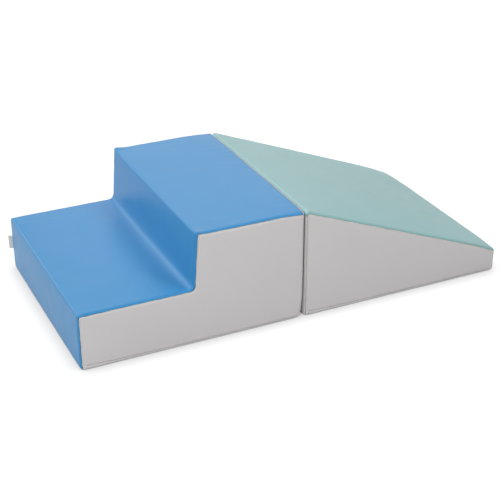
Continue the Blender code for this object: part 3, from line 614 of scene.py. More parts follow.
def settle(cloth, seed):
    """Let a cover that was sewn in with a little ease settle into wrinkles of its own.

    A cloth simulation runs on a copy whose seams are pinned and whose middle is held
    lightly, as the foam under it would. The ease lies in patches along the seams. The
    wrinkles are capped before the cover's own mesh takes them up, so that it stays on
    its foam.
    """
    scene = bpy.context.scene
    count = len(cloth.data.vertices)
    rest, normals = np.empty(count * 3), np.empty(count * 3)
    cloth.data.vertices.foreach_get("co", rest)
    cloth.data.vertices.foreach_get("normal", normals)
    rest, normals = rest.reshape(-1, 3), normals.reshape(-1, 3)
    uses = Counter(key for face in cloth.data.polygons for key in face.edge_keys)
    rim = sorted({corner for key, times in uses.items() if times == 1 for corner in key})
    tree = KDTree(len(rim))
    for corner in rim:
        tree.insert(rest[corner], corner)
    tree.balance()
    from_rim = np.array([tree.find(place)[2] for place in rest])
    held = np.clip(1 - (from_rim - SEAM_ZONE) / LOOSE_ZONE, 0, 1) ** 2
    held = CLOTH_GRIP + (1 - CLOTH_GRIP) * held
    trial = bpy.data.objects.new(cloth.name + "_trial", cloth.data.copy())
    scene.collection.objects.link(trial)
    patches = np.sin(rest @ (19, 13, 23) + seed) * np.sin(rest @ (-11, 17, 29) + 2 * seed)
    ease = np.exp(-((from_rim - SEAM_ZONE) / EASE_REACH) ** 2) * np.clip(0.5 + patches, 0, 1)
    for title, weights in (("held", held), ("ease", ease)):
        group = trial.vertex_groups.new(name=title)
        for corner, weight in enumerate(weights):
            group.add([corner], float(weight), "REPLACE")
    start = sum(np.sin(rest @ way + seed) for way in ((71, 53, 37), (131, -97, 113), (31, 211, -171)))
    trial.data.vertices.foreach_set("co", (rest + normals * start[:, None] * START_NOISE).ravel())
    modifier = trial.modifiers.new("cloth", "CLOTH")
    settings = modifier.settings
    settings.quality = 4
    settings.mass = 0.3
    settings.tension_stiffness = settings.compression_stiffness = 15
    settings.shear_stiffness = 5
    settings.bending_stiffness = 2
    settings.vertex_group_mass = "held"
    settings.vertex_group_shrink = "ease"
    settings.shrink_min = 0
    settings.shrink_max = -CLOTH_EASE
    settings.effector_weights.gravity = 0
    modifier.point_cache.frame_end = CLOTH_STEPS
    for step in range(1, CLOTH_STEPS + 1):
        scene.frame_set(step)
    settled = np.empty(count * 3)
    trial.evaluated_get(bpy.context.evaluated_depsgraph_get()).data.vertices.foreach_get("co", settled)
    scene.frame_set(1)
    bpy.data.objects.remove(trial)
    rise = ((settled.reshape(-1, 3) - rest) * normals).sum(axis=1)
    cap = np.where(rise > 0, CLOTH_RISE, CLOTH_SINK)
    rise = cap * np.tanh(rise / cap)
    rise = rise * np.exp(-(np.maximum(from_rim - SEAM_ZONE, 0) / WRINKLE_REACH) ** 2)
    cloth.data.vertices.foreach_set("co", (rest + normals * rise[:, None]).ravel())
    cloth.data.update()


blue = vinyl_finish("blue vinyl", BLUE, 0.30)
tread_mesh = strip_mesh("steps_tread", steps_strip_line, (False, True), swell_steps, 1)
tread = new_piece("steps_tread", tread_mesh, blue)
settle(tread, 1)
thicken(tread)
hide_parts("steps_tread_strip")
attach(tread, "steps_block")


# Grey side panels of the steps block: flat pieces of the same vinyl, cut to the block's
# stepped outline. They are sewn to the strip with a turned seam, and their bottom edge
# rolls under to the base seam, which puckers at the stitches.

GREY = (0.580, 0.563, 0.566)
RAMP_BACK_X = STEPS_BACK_X + JOINT_GAP
RISER_LEAN = 0.0718
PANEL_WAVE = 0.0004
PANEL_WAVE_PITCH = 0.021
PANEL_WAVE_REACH = 0.006
PANEL_INSETS = (0.0004, 0.0009, 0.0016, 0.0032, 0.0052, 0.0076)
HEM_HEIGHT = BASE_LIFT + 0.0062
HEM_GROOVE = 0.0011
HEM_GROOVE_WIDTH = 0.0020
HEM_CLIMB = 0.0070
HEM_CLIMB_REACH = 0.11
HEM_ROWS = 0.0013
HEM_PUCKER_PITCH = 0.0105


def steps_back_line(y):
    """The back panel's outline at y, from the top edge down to the base."""
    foot = BASE_LIFT + BASE_ROLL
    body = trace(
        [
            (STEPS_BACK_X - back_seam(y), STEPS_HEIGHT),
            (STEPS_BACK_X, STEPS_HEIGHT),
            (STEPS_BACK_X, foot),
        ],
        [round_bend(edge_radius(y, BACK_EDGE_RADIUS))],
        [1, 44],
        bend_count=10,
    )
    return joined(body, wall_foot(STEPS_BACK_X, 1, False))


def hem_height(x):
    """How high the hem's stitches run: they climb toward each side's front end."""
    start = np.where(np.asarray(x) < RAMP_BACK_X - JOINT_GAP / 2, FRONT_X, RAMP_BACK_X)
    return HEM_HEIGHT + HEM_CLIMB * np.exp(-np.abs(x - start) / HEM_CLIMB_REACH)


def roll_angle(depth):
    """How far round a rolled edge a depth below the face is."""
    return np.arccos(np.clip(1 - depth / SIDE_ROLL, 0, 1))


def panel_mesh(name, side, lines, slants, swell, seed):
    """A side panel inside the seam line, with turned edges and a rolled foot."""
    depth = SEAM_DEPTH + SEAM_GAP
    outline = []
    for points, normals in lines:
        for place in points - normals * depth:
            if not outline or np.linalg.norm(place - outline[-1]) > SEAM_GAP * 2:
                outline.append(place)
    while np.linalg.norm(outline[0] - outline[-1]) < SEAM_GAP * 2:
        outline.pop()
    corners = np.array(outline)
    bm = bmesh.new()
    verts = [bm.verts.new((x, side * HALF_WIDTH, z)) for x, z in corners]
    bm.faces.new(verts if side < 0 else verts[::-1])
    bm.normal_update()
    if bm.faces[:][0].normal.y * side < 0:
        bmesh.ops.reverse_faces(bm, faces=bm.faces[:])
    low = corners.min(axis=0)
    high = corners.max(axis=0)
    for axis, end in ((0, 0), (2, 1)):
        count = round((high[end] - low[end]) / CELL)
        cut_planes(bm, axis, np.linspace(low[end], high[end], count + 1)[1:-1])
    cut_planes(bm, 2, list(base_heights()[1:]) + [BASE_LIFT + BASE_ROLL])
    hem_top = HEM_HEIGHT + HEM_CLIMB + HEM_ROWS * 2
    cut_planes(bm, 2, np.arange(HEM_HEIGHT, hem_top, HEM_ROWS)[1:])
    for place, normal in slants:
        for inset in PANEL_INSETS:
            back = depth + inset
            bmesh.ops.bisect_plane(
                bm,
                geom=bm.verts[:] + bm.edges[:] + bm.faces[:],
                plane_co=(place[0] - normal[0] * back, 0, place[1] - normal[1] * back),
                plane_no=(normal[0], 0, normal[1]),
                dist=BASE_LIFT / 10,
            )
    rim = [e for e in bm.edges if e.is_boundary and min(v.co.z for v in e.verts) > BASE_LIFT * 2.5]
    grown = bmesh.ops.extrude_edge_only(bm, edges=rim)
    allowance = {e for e in grown["geom"] if isinstance(e, bmesh.types.BMVert)}
    flags = np.array([v in allowance for v in bm.verts])
    places = np.array([v.co for v in bm.verts])
    x, z = places[:, 0], places[:, 2]
    gap = np.full(len(places), 1.0)
    arc = np.zeros(len(places))
    inside = np.zeros((len(places), 2))
    length = 0
    for a, b in zip(corners, np.roll(corners, -1, axis=0)):
        if max(a[1], b[1]) < BASE_LIFT * 2:
            continue
        run = b - a
        size = np.linalg.norm(run)
        along = np.clip(((x - a[0]) * run[0] + (z - a[1]) * run[1]) / size ** 2, 0, 1)
        here = np.hypot(x - a[0] - run[0] * along, z - a[1] - run[1] * along)
        closer = here < gap
        gap = np.where(closer, here, gap)
        arc = np.where(closer, length + along * size, arc)
        inside[closer] = run[1] / size, -run[0] / size
        length += size
    turn = np.clip(1 - gap / SEAM_LIP, 0, 1)
    lip = SEAM_LIP * (1 - np.sqrt(1 - turn ** 2)) + np.where(flags, ALLOWANCE, 0)
    rolled = SIDE_ROLL * (1 - np.sin(roll_angle(depth + gap)))
    wave = ripple(arc, seed, PANEL_WAVE_PITCH) * PANEL_WAVE * np.exp(-(gap / PANEL_WAVE_REACH) ** 2)
    hem = np.exp(-((z - hem_height(x)) / HEM_GROOVE_WIDTH) ** 2)
    hem = hem * HEM_GROOVE * (ripple(x, seed + 4, HEM_PUCKER_PITCH) / 2 - 1)
    ends = corners[:, 0].min() - depth, corners[:, 0].max() + depth
    foot_turn = roll_angle(np.minimum(x - ends[0], ends[1] - x))
    foot = base_inset(z)
    places[:, 0] += np.copysign(foot * np.cos(foot_turn), sum(ends) - 2 * x)
    places[:, 0] += inside[:, 0] * lip * math.cos(SEAM_ANGLE)
    places[:, 2] += inside[:, 1] * lip * math.cos(SEAM_ANGLE)
    inward = rolled + foot * np.sin(foot_turn) + lip * math.sin(SEAM_ANGLE) - wave - hem
    places[:, 1] -= side * inward
    for vert, place in zip(bm.verts, swell(places)):
        vert.co = place
    mesh = bpy.data.meshes.new(name)
    bm.to_mesh(mesh)
    bm.free()
    return mesh


def side_panels(prefix, seam_lines, slants, swell, seed):
    """A block's near and far side panel."""
    panels = []
    for word, side in (("near", -1), ("far", 1)):
        name = prefix + "_side_" + word
        mesh = panel_mesh(name, side, seam_lines, slants, swell, seed + side)
        panel = new_piece(name, mesh, grey)
        settle(panel, seed + side)
        thicken(panel)
        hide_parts(prefix + "_side_panel_" + word)
        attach(panel, prefix + "_block")
        panels.append(panel)
    return panels


grey = vinyl_finish("grey vinyl", GREY, 0.62)
near_side, far_side = side_panels(
    "steps",
    [steps_strip_line(HALF_WIDTH), steps_back_line(HALF_WIDTH)],
    [
        ((FRONT_X, 0), (-1, 0)),
        ((FRONT_X, LOW_STEP), (0, 1)),
        ((RISER_X, STEPS_HEIGHT), (-math.cos(RISER_LEAN), math.sin(RISER_LEAN))),
        ((FRONT_X, STEPS_HEIGHT), (0, 1)),
        ((STEPS_BACK_X, 0), (1, 0)),
    ],
    swell_steps,
    3,
)


# Grey back panel of the steps block: a plain vinyl rectangle that faces the ramp. It
# carries the hook strips and rolls over both side edges as the blue strip does.

back_mesh = strip_mesh("steps_back", steps_back_line, (True, False), swell_steps, 7)
steps_back = new_piece("steps_back", back_mesh, grey)
thicken(steps_back)
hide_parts("steps_back_panel")
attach(steps_back, "steps_block")


# Hem stitches of the steps block: one row round its foot, where the covers are sewn to
# the base panels. The thread is darker than the cover that it holds: a little on the blue, much on the grey.

STITCH_LENGTH = 0.0022
STITCH_PITCH = 0.0044
THREAD_RADIUS = 0.00045
HEM_MARGIN = 0.014
NEEDLE_START = 0.055
BLUE_THREAD_SHARE = 0.8
GREY_THREAD_SHARE = 0.25


def thread_finish(name, colour):
    """Bonded polyester thread: a fine twist and a slight shine."""
    material, shader, node, link = new_finish(name, colour, 0.5)
    place = node("ShaderNodeTexCoord").outputs["Object"]
    twist = node("ShaderNodeTexWave", {"bands_direction": "DIAGONAL", "in_Scale": 700}, Vector=place)
    relief = node("ShaderNodeBump", {"in_Strength": 0.5, "in_Distance": 0.0002}, Height=twist.outputs["Fac"])
    link(relief.outputs["Normal"], shader.inputs["Normal"])
    return material


def meet(cloth, places, heading):
    """Where a needle that heads through each place meets a cloth, with the normals there."""
    mesh = cloth.data
    tree = BVHTree.FromPolygons([v.co for v in mesh.vertices], [p.vertices for p in mesh.polygons])
    heading = Vector(heading)
    hits = [tree.ray_cast(Vector(place) - heading * NEEDLE_START, heading) for place in places]
    hits = [hit for hit in hits if hit[0] is not None]
    normals = [hit[1] if hit[1].dot(heading) < 0 else -hit[1] for hit in hits]
    return np.array([hit[0] for hit in hits]), np.array(normals)


def ring_faces(count, rings, sides):
    """Faces round and across the ends of solids that are each made of rings of points."""
    faces = []
    for first in range(0, count, rings * sides):
        for r in range(rings - 1):
            for k in range(sides):
                here = first + r * sides
                turn = (k + 1) % sides
                faces.append((here + k, here + turn, here + sides + turn, here + sides + k))
        faces.append(tuple(first + k for k in range(sides))[::-1])
        faces.append(tuple(first + (rings - 1) * sides + k for k in range(sides)))
    return faces


def stitches(name, runs, thread):
    """Short raised threads along runs of points and normals, with their ends sunk in."""
    share = np.array([0, 0.13, 0.5, 0.87, 1])
    lift = np.array([-1.1, 0.25, 0.5, 0.25, -1.1]) * THREAD_RADIUS
    radius = np.array([0.6, 1, 1, 1, 0.6]) * THREAD_RADIUS
    around = np.arange(6) * np.pi / 3
    groups = []
    for points, normals in runs:
        along = distances(points)
        starts = np.arange(STITCH_PITCH / 4, along[-1] - STITCH_LENGTH, STITCH_PITCH)

        def at(values, where):
            return np.stack([np.interp(where, along, values[:, k]) for k in range(3)], 1)

        a = at(points, starts)
        b = at(points, starts + STITCH_LENGTH)
        n = at(normals, starts + STITCH_LENGTH / 2)
        n /= np.linalg.norm(n, axis=1)[:, None]
        side = np.cross(n, b - a)
        side /= np.linalg.norm(side, axis=1)[:, None]
        centre = a[:, None] + (b - a)[:, None] * share[:, None] + n[:, None] * lift[:, None]
        spoke = side[:, None] * np.cos(around)[:, None] + n[:, None] * np.sin(around)[:, None]
        groups.append(centre[:, :, None] + spoke[:, None] * radius[:, None, None])
    places = np.concatenate([g.reshape(-1, 3) for g in groups])
    mesh = bpy.data.meshes.new(name)
    mesh.from_pydata(places.tolist(), [], ring_faces(len(places), len(share), len(around)))
    return new_piece(name, mesh, thread)


def hem_run(cloth, start, end, heading):
    """A row of needle holes round the foot of a wall, from start to end in plan."""
    count = round((Vector(end) - Vector(start)).length / STITCH_LENGTH)
    line = np.linspace((*start, HEM_HEIGHT), (*end, HEM_HEIGHT), count)
    if heading[1]:
        line[:, 2] = hem_height(line[:, 0])
    return meet(cloth, line, heading)


def side_hem(cloth, side, low_x, high_x):
    """The hem along a side panel; side is -1 for the near one."""
    wall = side * HALF_WIDTH
    return hem_run(cloth, (low_x + HEM_MARGIN, wall), (high_x - HEM_MARGIN, wall), (0, -side, 0))


def end_hem(cloth, x, way):
    """The hem along a front or back wall; way is 1 where the wall faces -X."""
    reach = HALF_WIDTH - HEM_MARGIN
    return hem_run(cloth, (x, -reach), (x, reach), (way, 0, 0))


blue_thread = thread_finish("blue thread", [c * BLUE_THREAD_SHARE for c in BLUE])
grey_thread = thread_finish("grey thread", [c * GREY_THREAD_SHARE for c in GREY])
for piece in (
    stitches("steps_front_hem_stitches", [end_hem(tread, FRONT_X, 1)], blue_thread),
    stitches(
        "steps_hem_stitches",
        [
            side_hem(near_side, -1, FRONT_X, STEPS_BACK_X),
            side_hem(far_side, 1, FRONT_X, STEPS_BACK_X),
            end_hem(steps_back, STEPS_BACK_X, -1),
        ],
        grey_thread,
    ),
):
    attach(piece, "steps_block")


# Hook strips: two woven tapes with a field of stiff hooks, sewn across the steps block's
# back, which the ramp's loop strips press into.

TAPE_THICKNESS = 0.0014
TAPE_HEIGHT = 0.050
TAPE_HALF_LENGTH = HALF_WIDTH - 0.054
TAPE_GAP = 0.0003
TAPE_CENTRES = (("low", 0.075), ("high", 0.225))
SELVEDGE = 0.0028
SELVEDGE_THICKNESS = 0.0006
STRIP_NEEDLE_POINTS = 180
BAND_CELL = 0.010
PILE_BLACK = (0.030, 0.030, 0.032)
THREAD_BLACK = (0.02, 0.02, 0.022)


def closed_mesh(name, places, faces):
    """A mesh with its faces turned outward."""
    mesh = bpy.data.meshes.new(name)
    mesh.from_pydata(places, [], faces)
    bm = bmesh.new()
    bm.from_mesh(mesh)
    bmesh.ops.recalc_face_normals(bm, faces=bm.faces[:])
    bm.to_mesh(mesh)
    bm.free()
    return mesh


def band(name, profile, half_length, material):
    """A long flat solid along Y with a closed profile of (x, z) points."""
    ys = np.linspace(-half_length, half_length, round(2 * half_length / BAND_CELL) + 1)
    places = [(x, y, z) for y in ys for x, z in profile]
    mesh = closed_mesh(name, places, ring_faces(len(places), len(ys), len(profile)))
    return new_piece(name, mesh, material, smooth=False)


def pile_finish(name, colour, cells, depth, roughness):
    """Hooks or loops: a dense field of small bumps on a woven ground, with painted light on the bumps and
    painted shade between them.
    """
    material, shader, node, link = new_finish(name, colour, roughness)
    place = node("ShaderNodeTexCoord").outputs["Object"]
    pile = node("ShaderNodeTexVoronoi", {"in_Scale": cells}, Vector=place)
    # The colour follows the bump height, lighter on top and darker between: painted light and painted shade.
    lit_tops_shaded_gaps = {"in_From_Max": 0.6, "in_To_Min": 1.5, "in_To_Max": 0.6}
    shade = node("ShaderNodeMapRange", lit_tops_shaded_gaps, Value=pile.outputs["Distance"])
    tint = node("ShaderNodeVectorMath", {"operation": "SCALE"}, Scale=shade.outputs["Result"])
    tint.inputs[0].default_value = colour
    link(tint.outputs["Vector"], shader.inputs["Base Color"])
    standing = {"in_Strength": 0.9, "in_Distance": depth, "invert": True}
    relief = node("ShaderNodeBump", standing, Height=pile.outputs["Distance"])
    link(relief.outputs["Normal"], shader.inputs["Normal"])
    return material


def fastening_strip(name, x, way, centre, material):
    """A tape with plain selvedges; way is 1 where its pile faces +X."""
    half = TAPE_HEIGHT / 2
    thin, thick = x + way * SELVEDGE_THICKNESS, x + way * TAPE_THICKNESS
    edge, top = half - SELVEDGE, half - SELVEDGE - TAPE_THICKNESS
    profile = [
        (x, -half), (x, half), (thin, half), (thin, edge),
        (thick, top), (thick, -top), (thin, -edge), (thin, -half),
    ]
    profile = [(px, centre + pz) for px, pz in profile]
    return band(name, profile, TAPE_HALF_LENGTH, material)


def tape_runs(cloth, x, way, centre):
    """Needle lines along both selvedges of a strip."""
    runs = []
    for offset in (-1, 1):
        z = centre + offset * (TAPE_HEIGHT / 2 - SELVEDGE / 2)
        reach = TAPE_HALF_LENGTH - SELVEDGE
        ys = np.linspace(-reach, reach, STRIP_NEEDLE_POINTS)
        runs.append(meet(cloth, [(x, y, z) for y in ys], (-way, 0, 0)))
    return runs


def fastening_strips(prefix, kind, x, way, finish):
    """A block's low and high strip, sewn to its back; kind is hook or loop."""
    runs = []
    for word, centre in TAPE_CENTRES:
        strip = fastening_strip(prefix + "_" + kind + "s_" + word, x, way, centre, finish)
        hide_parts(prefix + "_" + kind + "_strip_" + word)
        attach(strip, prefix + "_block")
        runs += tape_runs(strip, x, way, centre)
    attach(stitches(prefix + "_" + kind + "_stitches", runs, tape_thread), prefix + "_block")


hooks = pile_finish("hook tape", PILE_BLACK, 620, 0.0008, 0.5)
tape_thread = thread_finish("black thread", THREAD_BLACK)
fastening_strips("steps", "hook", STEPS_BACK_X + TAPE_GAP, 1, hooks)


# Blank tag: a short length of white satin ribbon, folded double and caught in the far
# front seam. It stands off the seam and leans back.

TAG_HEIGHT = 0.039
TAG_REACH = 0.014
TAG_FOOT = 0.056
TAG_LEAN = math.radians(42)
TAG_LAYER = 0.00035
TAG_FOLD_SHARE = 0.9
TAG_WHITE = (0.72, 0.71, 0.70)


def satin_finish(name, colour):
    """Woven satin: close ribs across the ribbon and a soft shine."""
    material, shader, node, link = new_finish(name, colour, 0.38)
    shader.inputs["Sheen Weight"].default_value = 0.3
    place = node("ShaderNodeTexCoord").outputs["Object"]
    ribs = node("ShaderNodeTexWave", {"bands_direction": "Z", "in_Scale": 900}, Vector=place)
    warp = node("ShaderNodeTexNoise", {"in_Scale": 1500, "in_Detail": 2}, Vector=place)
    add = {"operation": "ADD"}
    total = node("ShaderNodeMath", add, i0=ribs.outputs["Fac"], i1=warp.outputs["Fac"])
    woven = {"in_Strength": 0.35, "in_Distance": 0.0002}
    relief = node("ShaderNodeBump", woven, Height=total.outputs["Value"])
    link(relief.outputs["Normal"], shader.inputs["Normal"])
    return material


tag_root = (FRONT_X + SEAM_DEPTH - TAG_LAYER, HALF_WIDTH - SEAM_INSET + TAG_LAYER)
tag_rows = 12
tag_columns = 15
tag_line = []
for share in np.linspace(0, 1, tag_columns):
    angle = TAG_LEAN * (1 + share) * 2 / 3
    middle = np.array([
        tag_root[0] - TAG_REACH * share * math.sin(angle),
        tag_root[1] + TAG_REACH * share * math.cos(angle),
    ])
    across = np.array([math.cos(angle), math.sin(angle)])
    folded = max(0, (share - TAG_FOLD_SHARE) / (1 - TAG_FOLD_SHARE))
    open_by = TAG_LAYER * math.sqrt(max(0, 1 - folded ** 2))
    tag_line.append((middle + across * open_by, middle - across * open_by))
tag_loop = [pair[0] for pair in tag_line] + [pair[1] for pair in tag_line[::-1]][1:]
places = [
    (x, y, TAG_FOOT + TAG_HEIGHT * r / tag_rows)
    for r in range(tag_rows + 1) for x, y in tag_loop
]
tag_faces = [face[::-1] for face in grid_faces(tag_rows + 1, len(tag_loop))]
tag_mesh = bpy.data.meshes.new("steps_tag")
tag_mesh.from_pydata(places, [], tag_faces)
tag = new_piece("steps_tag", tag_mesh, satin_finish("tag ribbon", TAG_WHITE))
tag_solidify = tag.modifiers.new("ribbon thickness", "SOLIDIFY")
tag_solidify.thickness = TAG_LAYER
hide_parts("steps_blank_tag")
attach(tag, "steps_block")


# Base of the steps block: two panels of dark woven fabric with soft dots that grip the
# floor. A zip between them lets the cover come off the foam for washing.

BASE_CLOTH = 0.0011
BASE_DOT_PITCH = 0.0062
ZIP_INSET = 0.070
ZIP_SLOT = 0.010
BASE_SEAM = BASE_ROLL + SEAM_GAP
BASE_CELL = 0.008
BASE_TURN_REACH = 0.004
BASE_WAVE = 0.0002
BASE_CORNER_SHARE = 0.29
BASE_STITCH_INSET = 0.0025
NEEDLE_POINTS = 200
BASE_DARK = (0.060, 0.062, 0.066)
DOT_SHARE = 0.45


def base_finish(name, colour):
    """Woven polyester with a printed grid of raised soft dots."""
    material, shader, node, link = new_finish(name, colour, 0.8)
    place = node("ShaderNodeTexCoord").outputs["Object"]
    turned = node("ShaderNodeMapping", {"in_Rotation": (0, 0, math.pi / 4)}, Vector=place)
    square = {"voronoi_dimensions": "2D", "in_Randomness": 0, "in_Scale": 1 / BASE_DOT_PITCH}
    grid = node("ShaderNodeTexVoronoi", square, Vector=turned.outputs["Vector"])
    round_dot = {
        "interpolation_type": "SMOOTHSTEP",
        "in_From_Min": 0.20,
        "in_From_Max": 0.28,
        "in_To_Min": 1,
        "in_To_Max": 0,
    }
    dots = node("ShaderNodeMapRange", round_dot, Value=grid.outputs["Distance"])
    tint = node("ShaderNodeMix", {"data_type": "RGBA"}, i0=dots.outputs["Result"])
    tint.inputs[6].default_value = (*colour, 1)
    tint.inputs[7].default_value = (*[c * DOT_SHARE for c in colour], 1)
    link(tint.outputs[2], shader.inputs["Base Color"])
    dull = node("ShaderNodeMapRange", {"in_To_Min": 0.85, "in_To_Max": 0.45}, Value=dots.outputs["Result"])
    link(dull.outputs["Result"], shader.inputs["Roughness"])
    weave = node("ShaderNodeTexVoronoi", {"in_Randomness": 0.2, "in_Scale": 1400}, Vector=place)
    add = {"operation": "MULTIPLY_ADD"}
    total = node("ShaderNodeMath", add, i0=dots.outputs["Result"], i2=weave.outputs["Distance"])
    total.inputs[1].default_value = 2.5
    raised = {"in_Strength": 0.7, "in_Distance": BASE_WAVE}
    relief = node("ShaderNodeBump", raised, Height=total.outputs["Value"])
    link(relief.outputs["Normal"], shader.inputs["Normal"])
    return material


def base_sheet(name, low_x, high_x, body, seed):
    """A flat panel that sags a little between its seams and turns up at its edges."""
    reach = HALF_WIDTH - BASE_SEAM
    xs = np.linspace(low_x, high_x, round((high_x - low_x) / BASE_CELL) + 1)
    ys = np.linspace(-reach, reach, round(2 * reach / BASE_CELL) + 1)
    x, y = np.meshgrid(xs, ys, indexing="ij")
    edge = np.minimum(np.minimum(x - low_x, high_x - x), reach - abs(y))
    turn = np.exp(-edge / BASE_TURN_REACH)
    wave = 0.5 + 0.25 * np.sin(x * 61 + y * 23 + seed) + 0.25 * np.sin(y * 47 - x * 19 + 2 * seed)
    z = BASE_WAVE * wave * (1 - turn) + BASE_LIFT * turn
    cut = (SIDE_ROLL - BASE_SEAM) * BASE_CORNER_SHARE
    for x_end, y_end in ((0, 0), (0, -1), (-1, 0), (-1, -1)):
        x[x_end, y_end] -= math.copysign(cut, x[x_end, y_end] - (low_x + high_x) / 2)
        y[x_end, y_end] -= math.copysign(cut, y[x_end, y_end])
    places = np.stack([x, y, z], 2).reshape(-1, 3)
    if body == "steps_block":
        places = places + foot_tuck(places)
    mesh = bpy.data.meshes.new(name)
    mesh.from_pydata(places.tolist(), [], [face[::-1] for face in grid_faces(len(xs), len(ys))])
    piece = new_piece(name, mesh, base_cloth)
    solidify = piece.modifiers.new("cloth thickness", "SOLIDIFY")
    solidify.thickness = BASE_CLOTH
    solidify.offset = -1
    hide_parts(name.replace("_cloth", "_panel"))
    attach(piece, body)
    return piece


def base_run(cloth, x):
    """Needle line on a base panel beside the zip."""
    reach = HALF_WIDTH - BASE_SEAM - SELVEDGE
    ys = np.linspace(-reach, reach, NEEDLE_POINTS)
    return meet(cloth, [(x, y, 0) for y in ys], (0, 0, 1))


def base_panels(prefix, low_x, zip_x, high_x, seed):
    """A block's two base panels, with a needle line on either side of its zip."""
    body = prefix + "_block"
    front_end = zip_x - ZIP_SLOT / 2
    rear_start = zip_x + ZIP_SLOT / 2
    front = base_sheet(prefix + "_base_cloth_front", low_x + BASE_SEAM, front_end, body, seed)
    rear = base_sheet(prefix + "_base_cloth_rear", rear_start, high_x - BASE_SEAM, body, seed + 1)
    runs = [base_run(front, front_end - BASE_STITCH_INSET), base_run(rear, rear_start + BASE_STITCH_INSET)]
    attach(stitches(prefix + "_base_stitches", runs, tape_thread), body)


base_cloth = base_finish("base fabric", BASE_DARK)
steps_zip_x = STEPS_BACK_X - ZIP_INSET
base_panels("steps", FRONT_X, steps_zip_x, STEPS_BACK_X, 1)


# Zip of the steps block: two woven tapes, a nylon coil and a die-cast slider without a
# pull tab, as on covers that children shouldn't open.

ZIP_TAPE_Z = 0.0018
ZIP_TAPE_THICKNESS = 0.0006
ZIP_TAPE_WIDTH = 0.013
ZIP_TAPE_HALF = HALF_WIDTH - 0.008
COIL_WIDTH = 0.0052
COIL_HEIGHT = 0.0020
COIL_HALF = HALF_WIDTH - 0.034
COIL_PITCH = 0.0015
TOOTH_PLACE_SHARES = (0, 0.08, 0.3, 0.7, 0.86, 1)
TOOTH_WIDTH_SHARES = (0.5, 0.85, 0.8, 0.8, 1.1, 0.45)
TOOTH_PITCH_SHARE = 0.27
TOOTH_HEIGHT_SHARE = 0.45
SLIDER_NECK = 0.0033
ZIP_STITCH_PLACE = 0.0030
ZIP_CORD_PLACE = 0.0010
ZIP_CORD_RISE = 0.0001
SLIDER_ROUNDING = 0.0003
SLIDER_ZINC = (0.56, 0.56, 0.57)
ZIP_GREY = (0.230, 0.235, 0.245)
COIL_SHARE = 0.8


def tape_finish(name, colour):
    """Herringbone tape: two fine diagonal ribs that meet."""
    material, shader, node, link = new_finish(name, colour, 0.85)
    place = node("ShaderNodeTexCoord").outputs["Object"]
    ribs = {"bands_direction": "DIAGONAL", "in_Scale": 500}
    first = node("ShaderNodeTexWave", ribs, Vector=place)
    other = node("ShaderNodeMapping", {"in_Scale": (-1, 1, 1)}, Vector=place)
    second = node("ShaderNodeTexWave", ribs, Vector=other.outputs["Vector"])
    both = {"operation": "MULTIPLY"}
    total = node("ShaderNodeMath", both, i0=first.outputs["Fac"], i1=second.outputs["Fac"])
    woven = {"in_Strength": 0.6, "in_Distance": 0.0003}
    relief = node("ShaderNodeBump", woven, Height=total.outputs["Value"])
    link(relief.outputs["Normal"], shader.inputs["Normal"])
    return material


def coil_finish(name, colour):
    """Nylon monofilament: smooth, with faint moulding waves."""
    material, shader, node, link = new_finish(name, colour, 0.35)
    place = node("ShaderNodeTexCoord").outputs["Object"]
    waves = node("ShaderNodeTexNoise", {"in_Scale": 900, "in_Detail": 2}, Vector=place)
    moulded = {"in_Strength": 0.2, "in_Distance": 0.0002}
    relief = node("ShaderNodeBump", moulded, Height=waves.outputs["Fac"])
    link(relief.outputs["Normal"], shader.inputs["Normal"])
    return material


def metal_finish(name, colour):
    """Tumbled zinc alloy: bright, with fine scuffs."""
    material, shader, node, link = new_finish(name, colour, 0.35)
    shader.inputs["Metallic"].default_value = 1
    place = node("ShaderNodeTexCoord").outputs["Object"]
    scuffs = node("ShaderNodeTexNoise", {"in_Scale": 900, "in_Detail": 5}, Vector=place)
    dull = node("ShaderNodeMapRange", {"in_To_Min": 0.25, "in_To_Max": 0.5}, Value=scuffs.outputs["Fac"])
    link(dull.outputs["Result"], shader.inputs["Roughness"])
    scratched = {"in_Strength": 0.15, "in_Distance": 0.0001}
    relief = node("ShaderNodeBump", scratched, Height=scuffs.outputs["Fac"])
    link(relief.outputs["Normal"], shader.inputs["Normal"])
    return material


def coil_mesh(name, x):
    """Two rows of teeth that pass each other along the closed part of the zip."""
    across = np.array(TOOTH_PLACE_SHARES)
    size = np.array(TOOTH_WIDTH_SHARES)
    around = np.arange(6) * np.pi / 3 + np.pi / 6
    reach = COIL_WIDTH / 2
    length = reach + COIL_WIDTH / 8
    end = COIL_HALF - SLIDER_NECK
    middle_z = ZIP_TAPE_Z + ZIP_TAPE_THICKNESS / 2
    places = []
    for side, shift in ((-1, 0), (1, 0.5)):
        for y in np.arange(-COIL_HALF + COIL_PITCH, end, COIL_PITCH) + shift * COIL_PITCH:
            if y > end - COIL_PITCH / 2:
                continue
            for part, wide in zip(across, size):
                for angle in around:
                    places.append((
                        x + side * (reach - length * part),
                        y + math.cos(angle) * wide * COIL_PITCH * TOOTH_PITCH_SHARE,
                        middle_z + math.sin(angle) * wide * COIL_HEIGHT * TOOTH_HEIGHT_SHARE,
                    ))
    return closed_mesh(name, places, ring_faces(len(places), len(across), len(around)))


zip_cloth = tape_finish("zip tape", ZIP_GREY)
coil_nylon = coil_finish("zip coil", [c * COIL_SHARE for c in ZIP_GREY])
slider_metal = metal_finish("zip slider", SLIDER_ZINC)


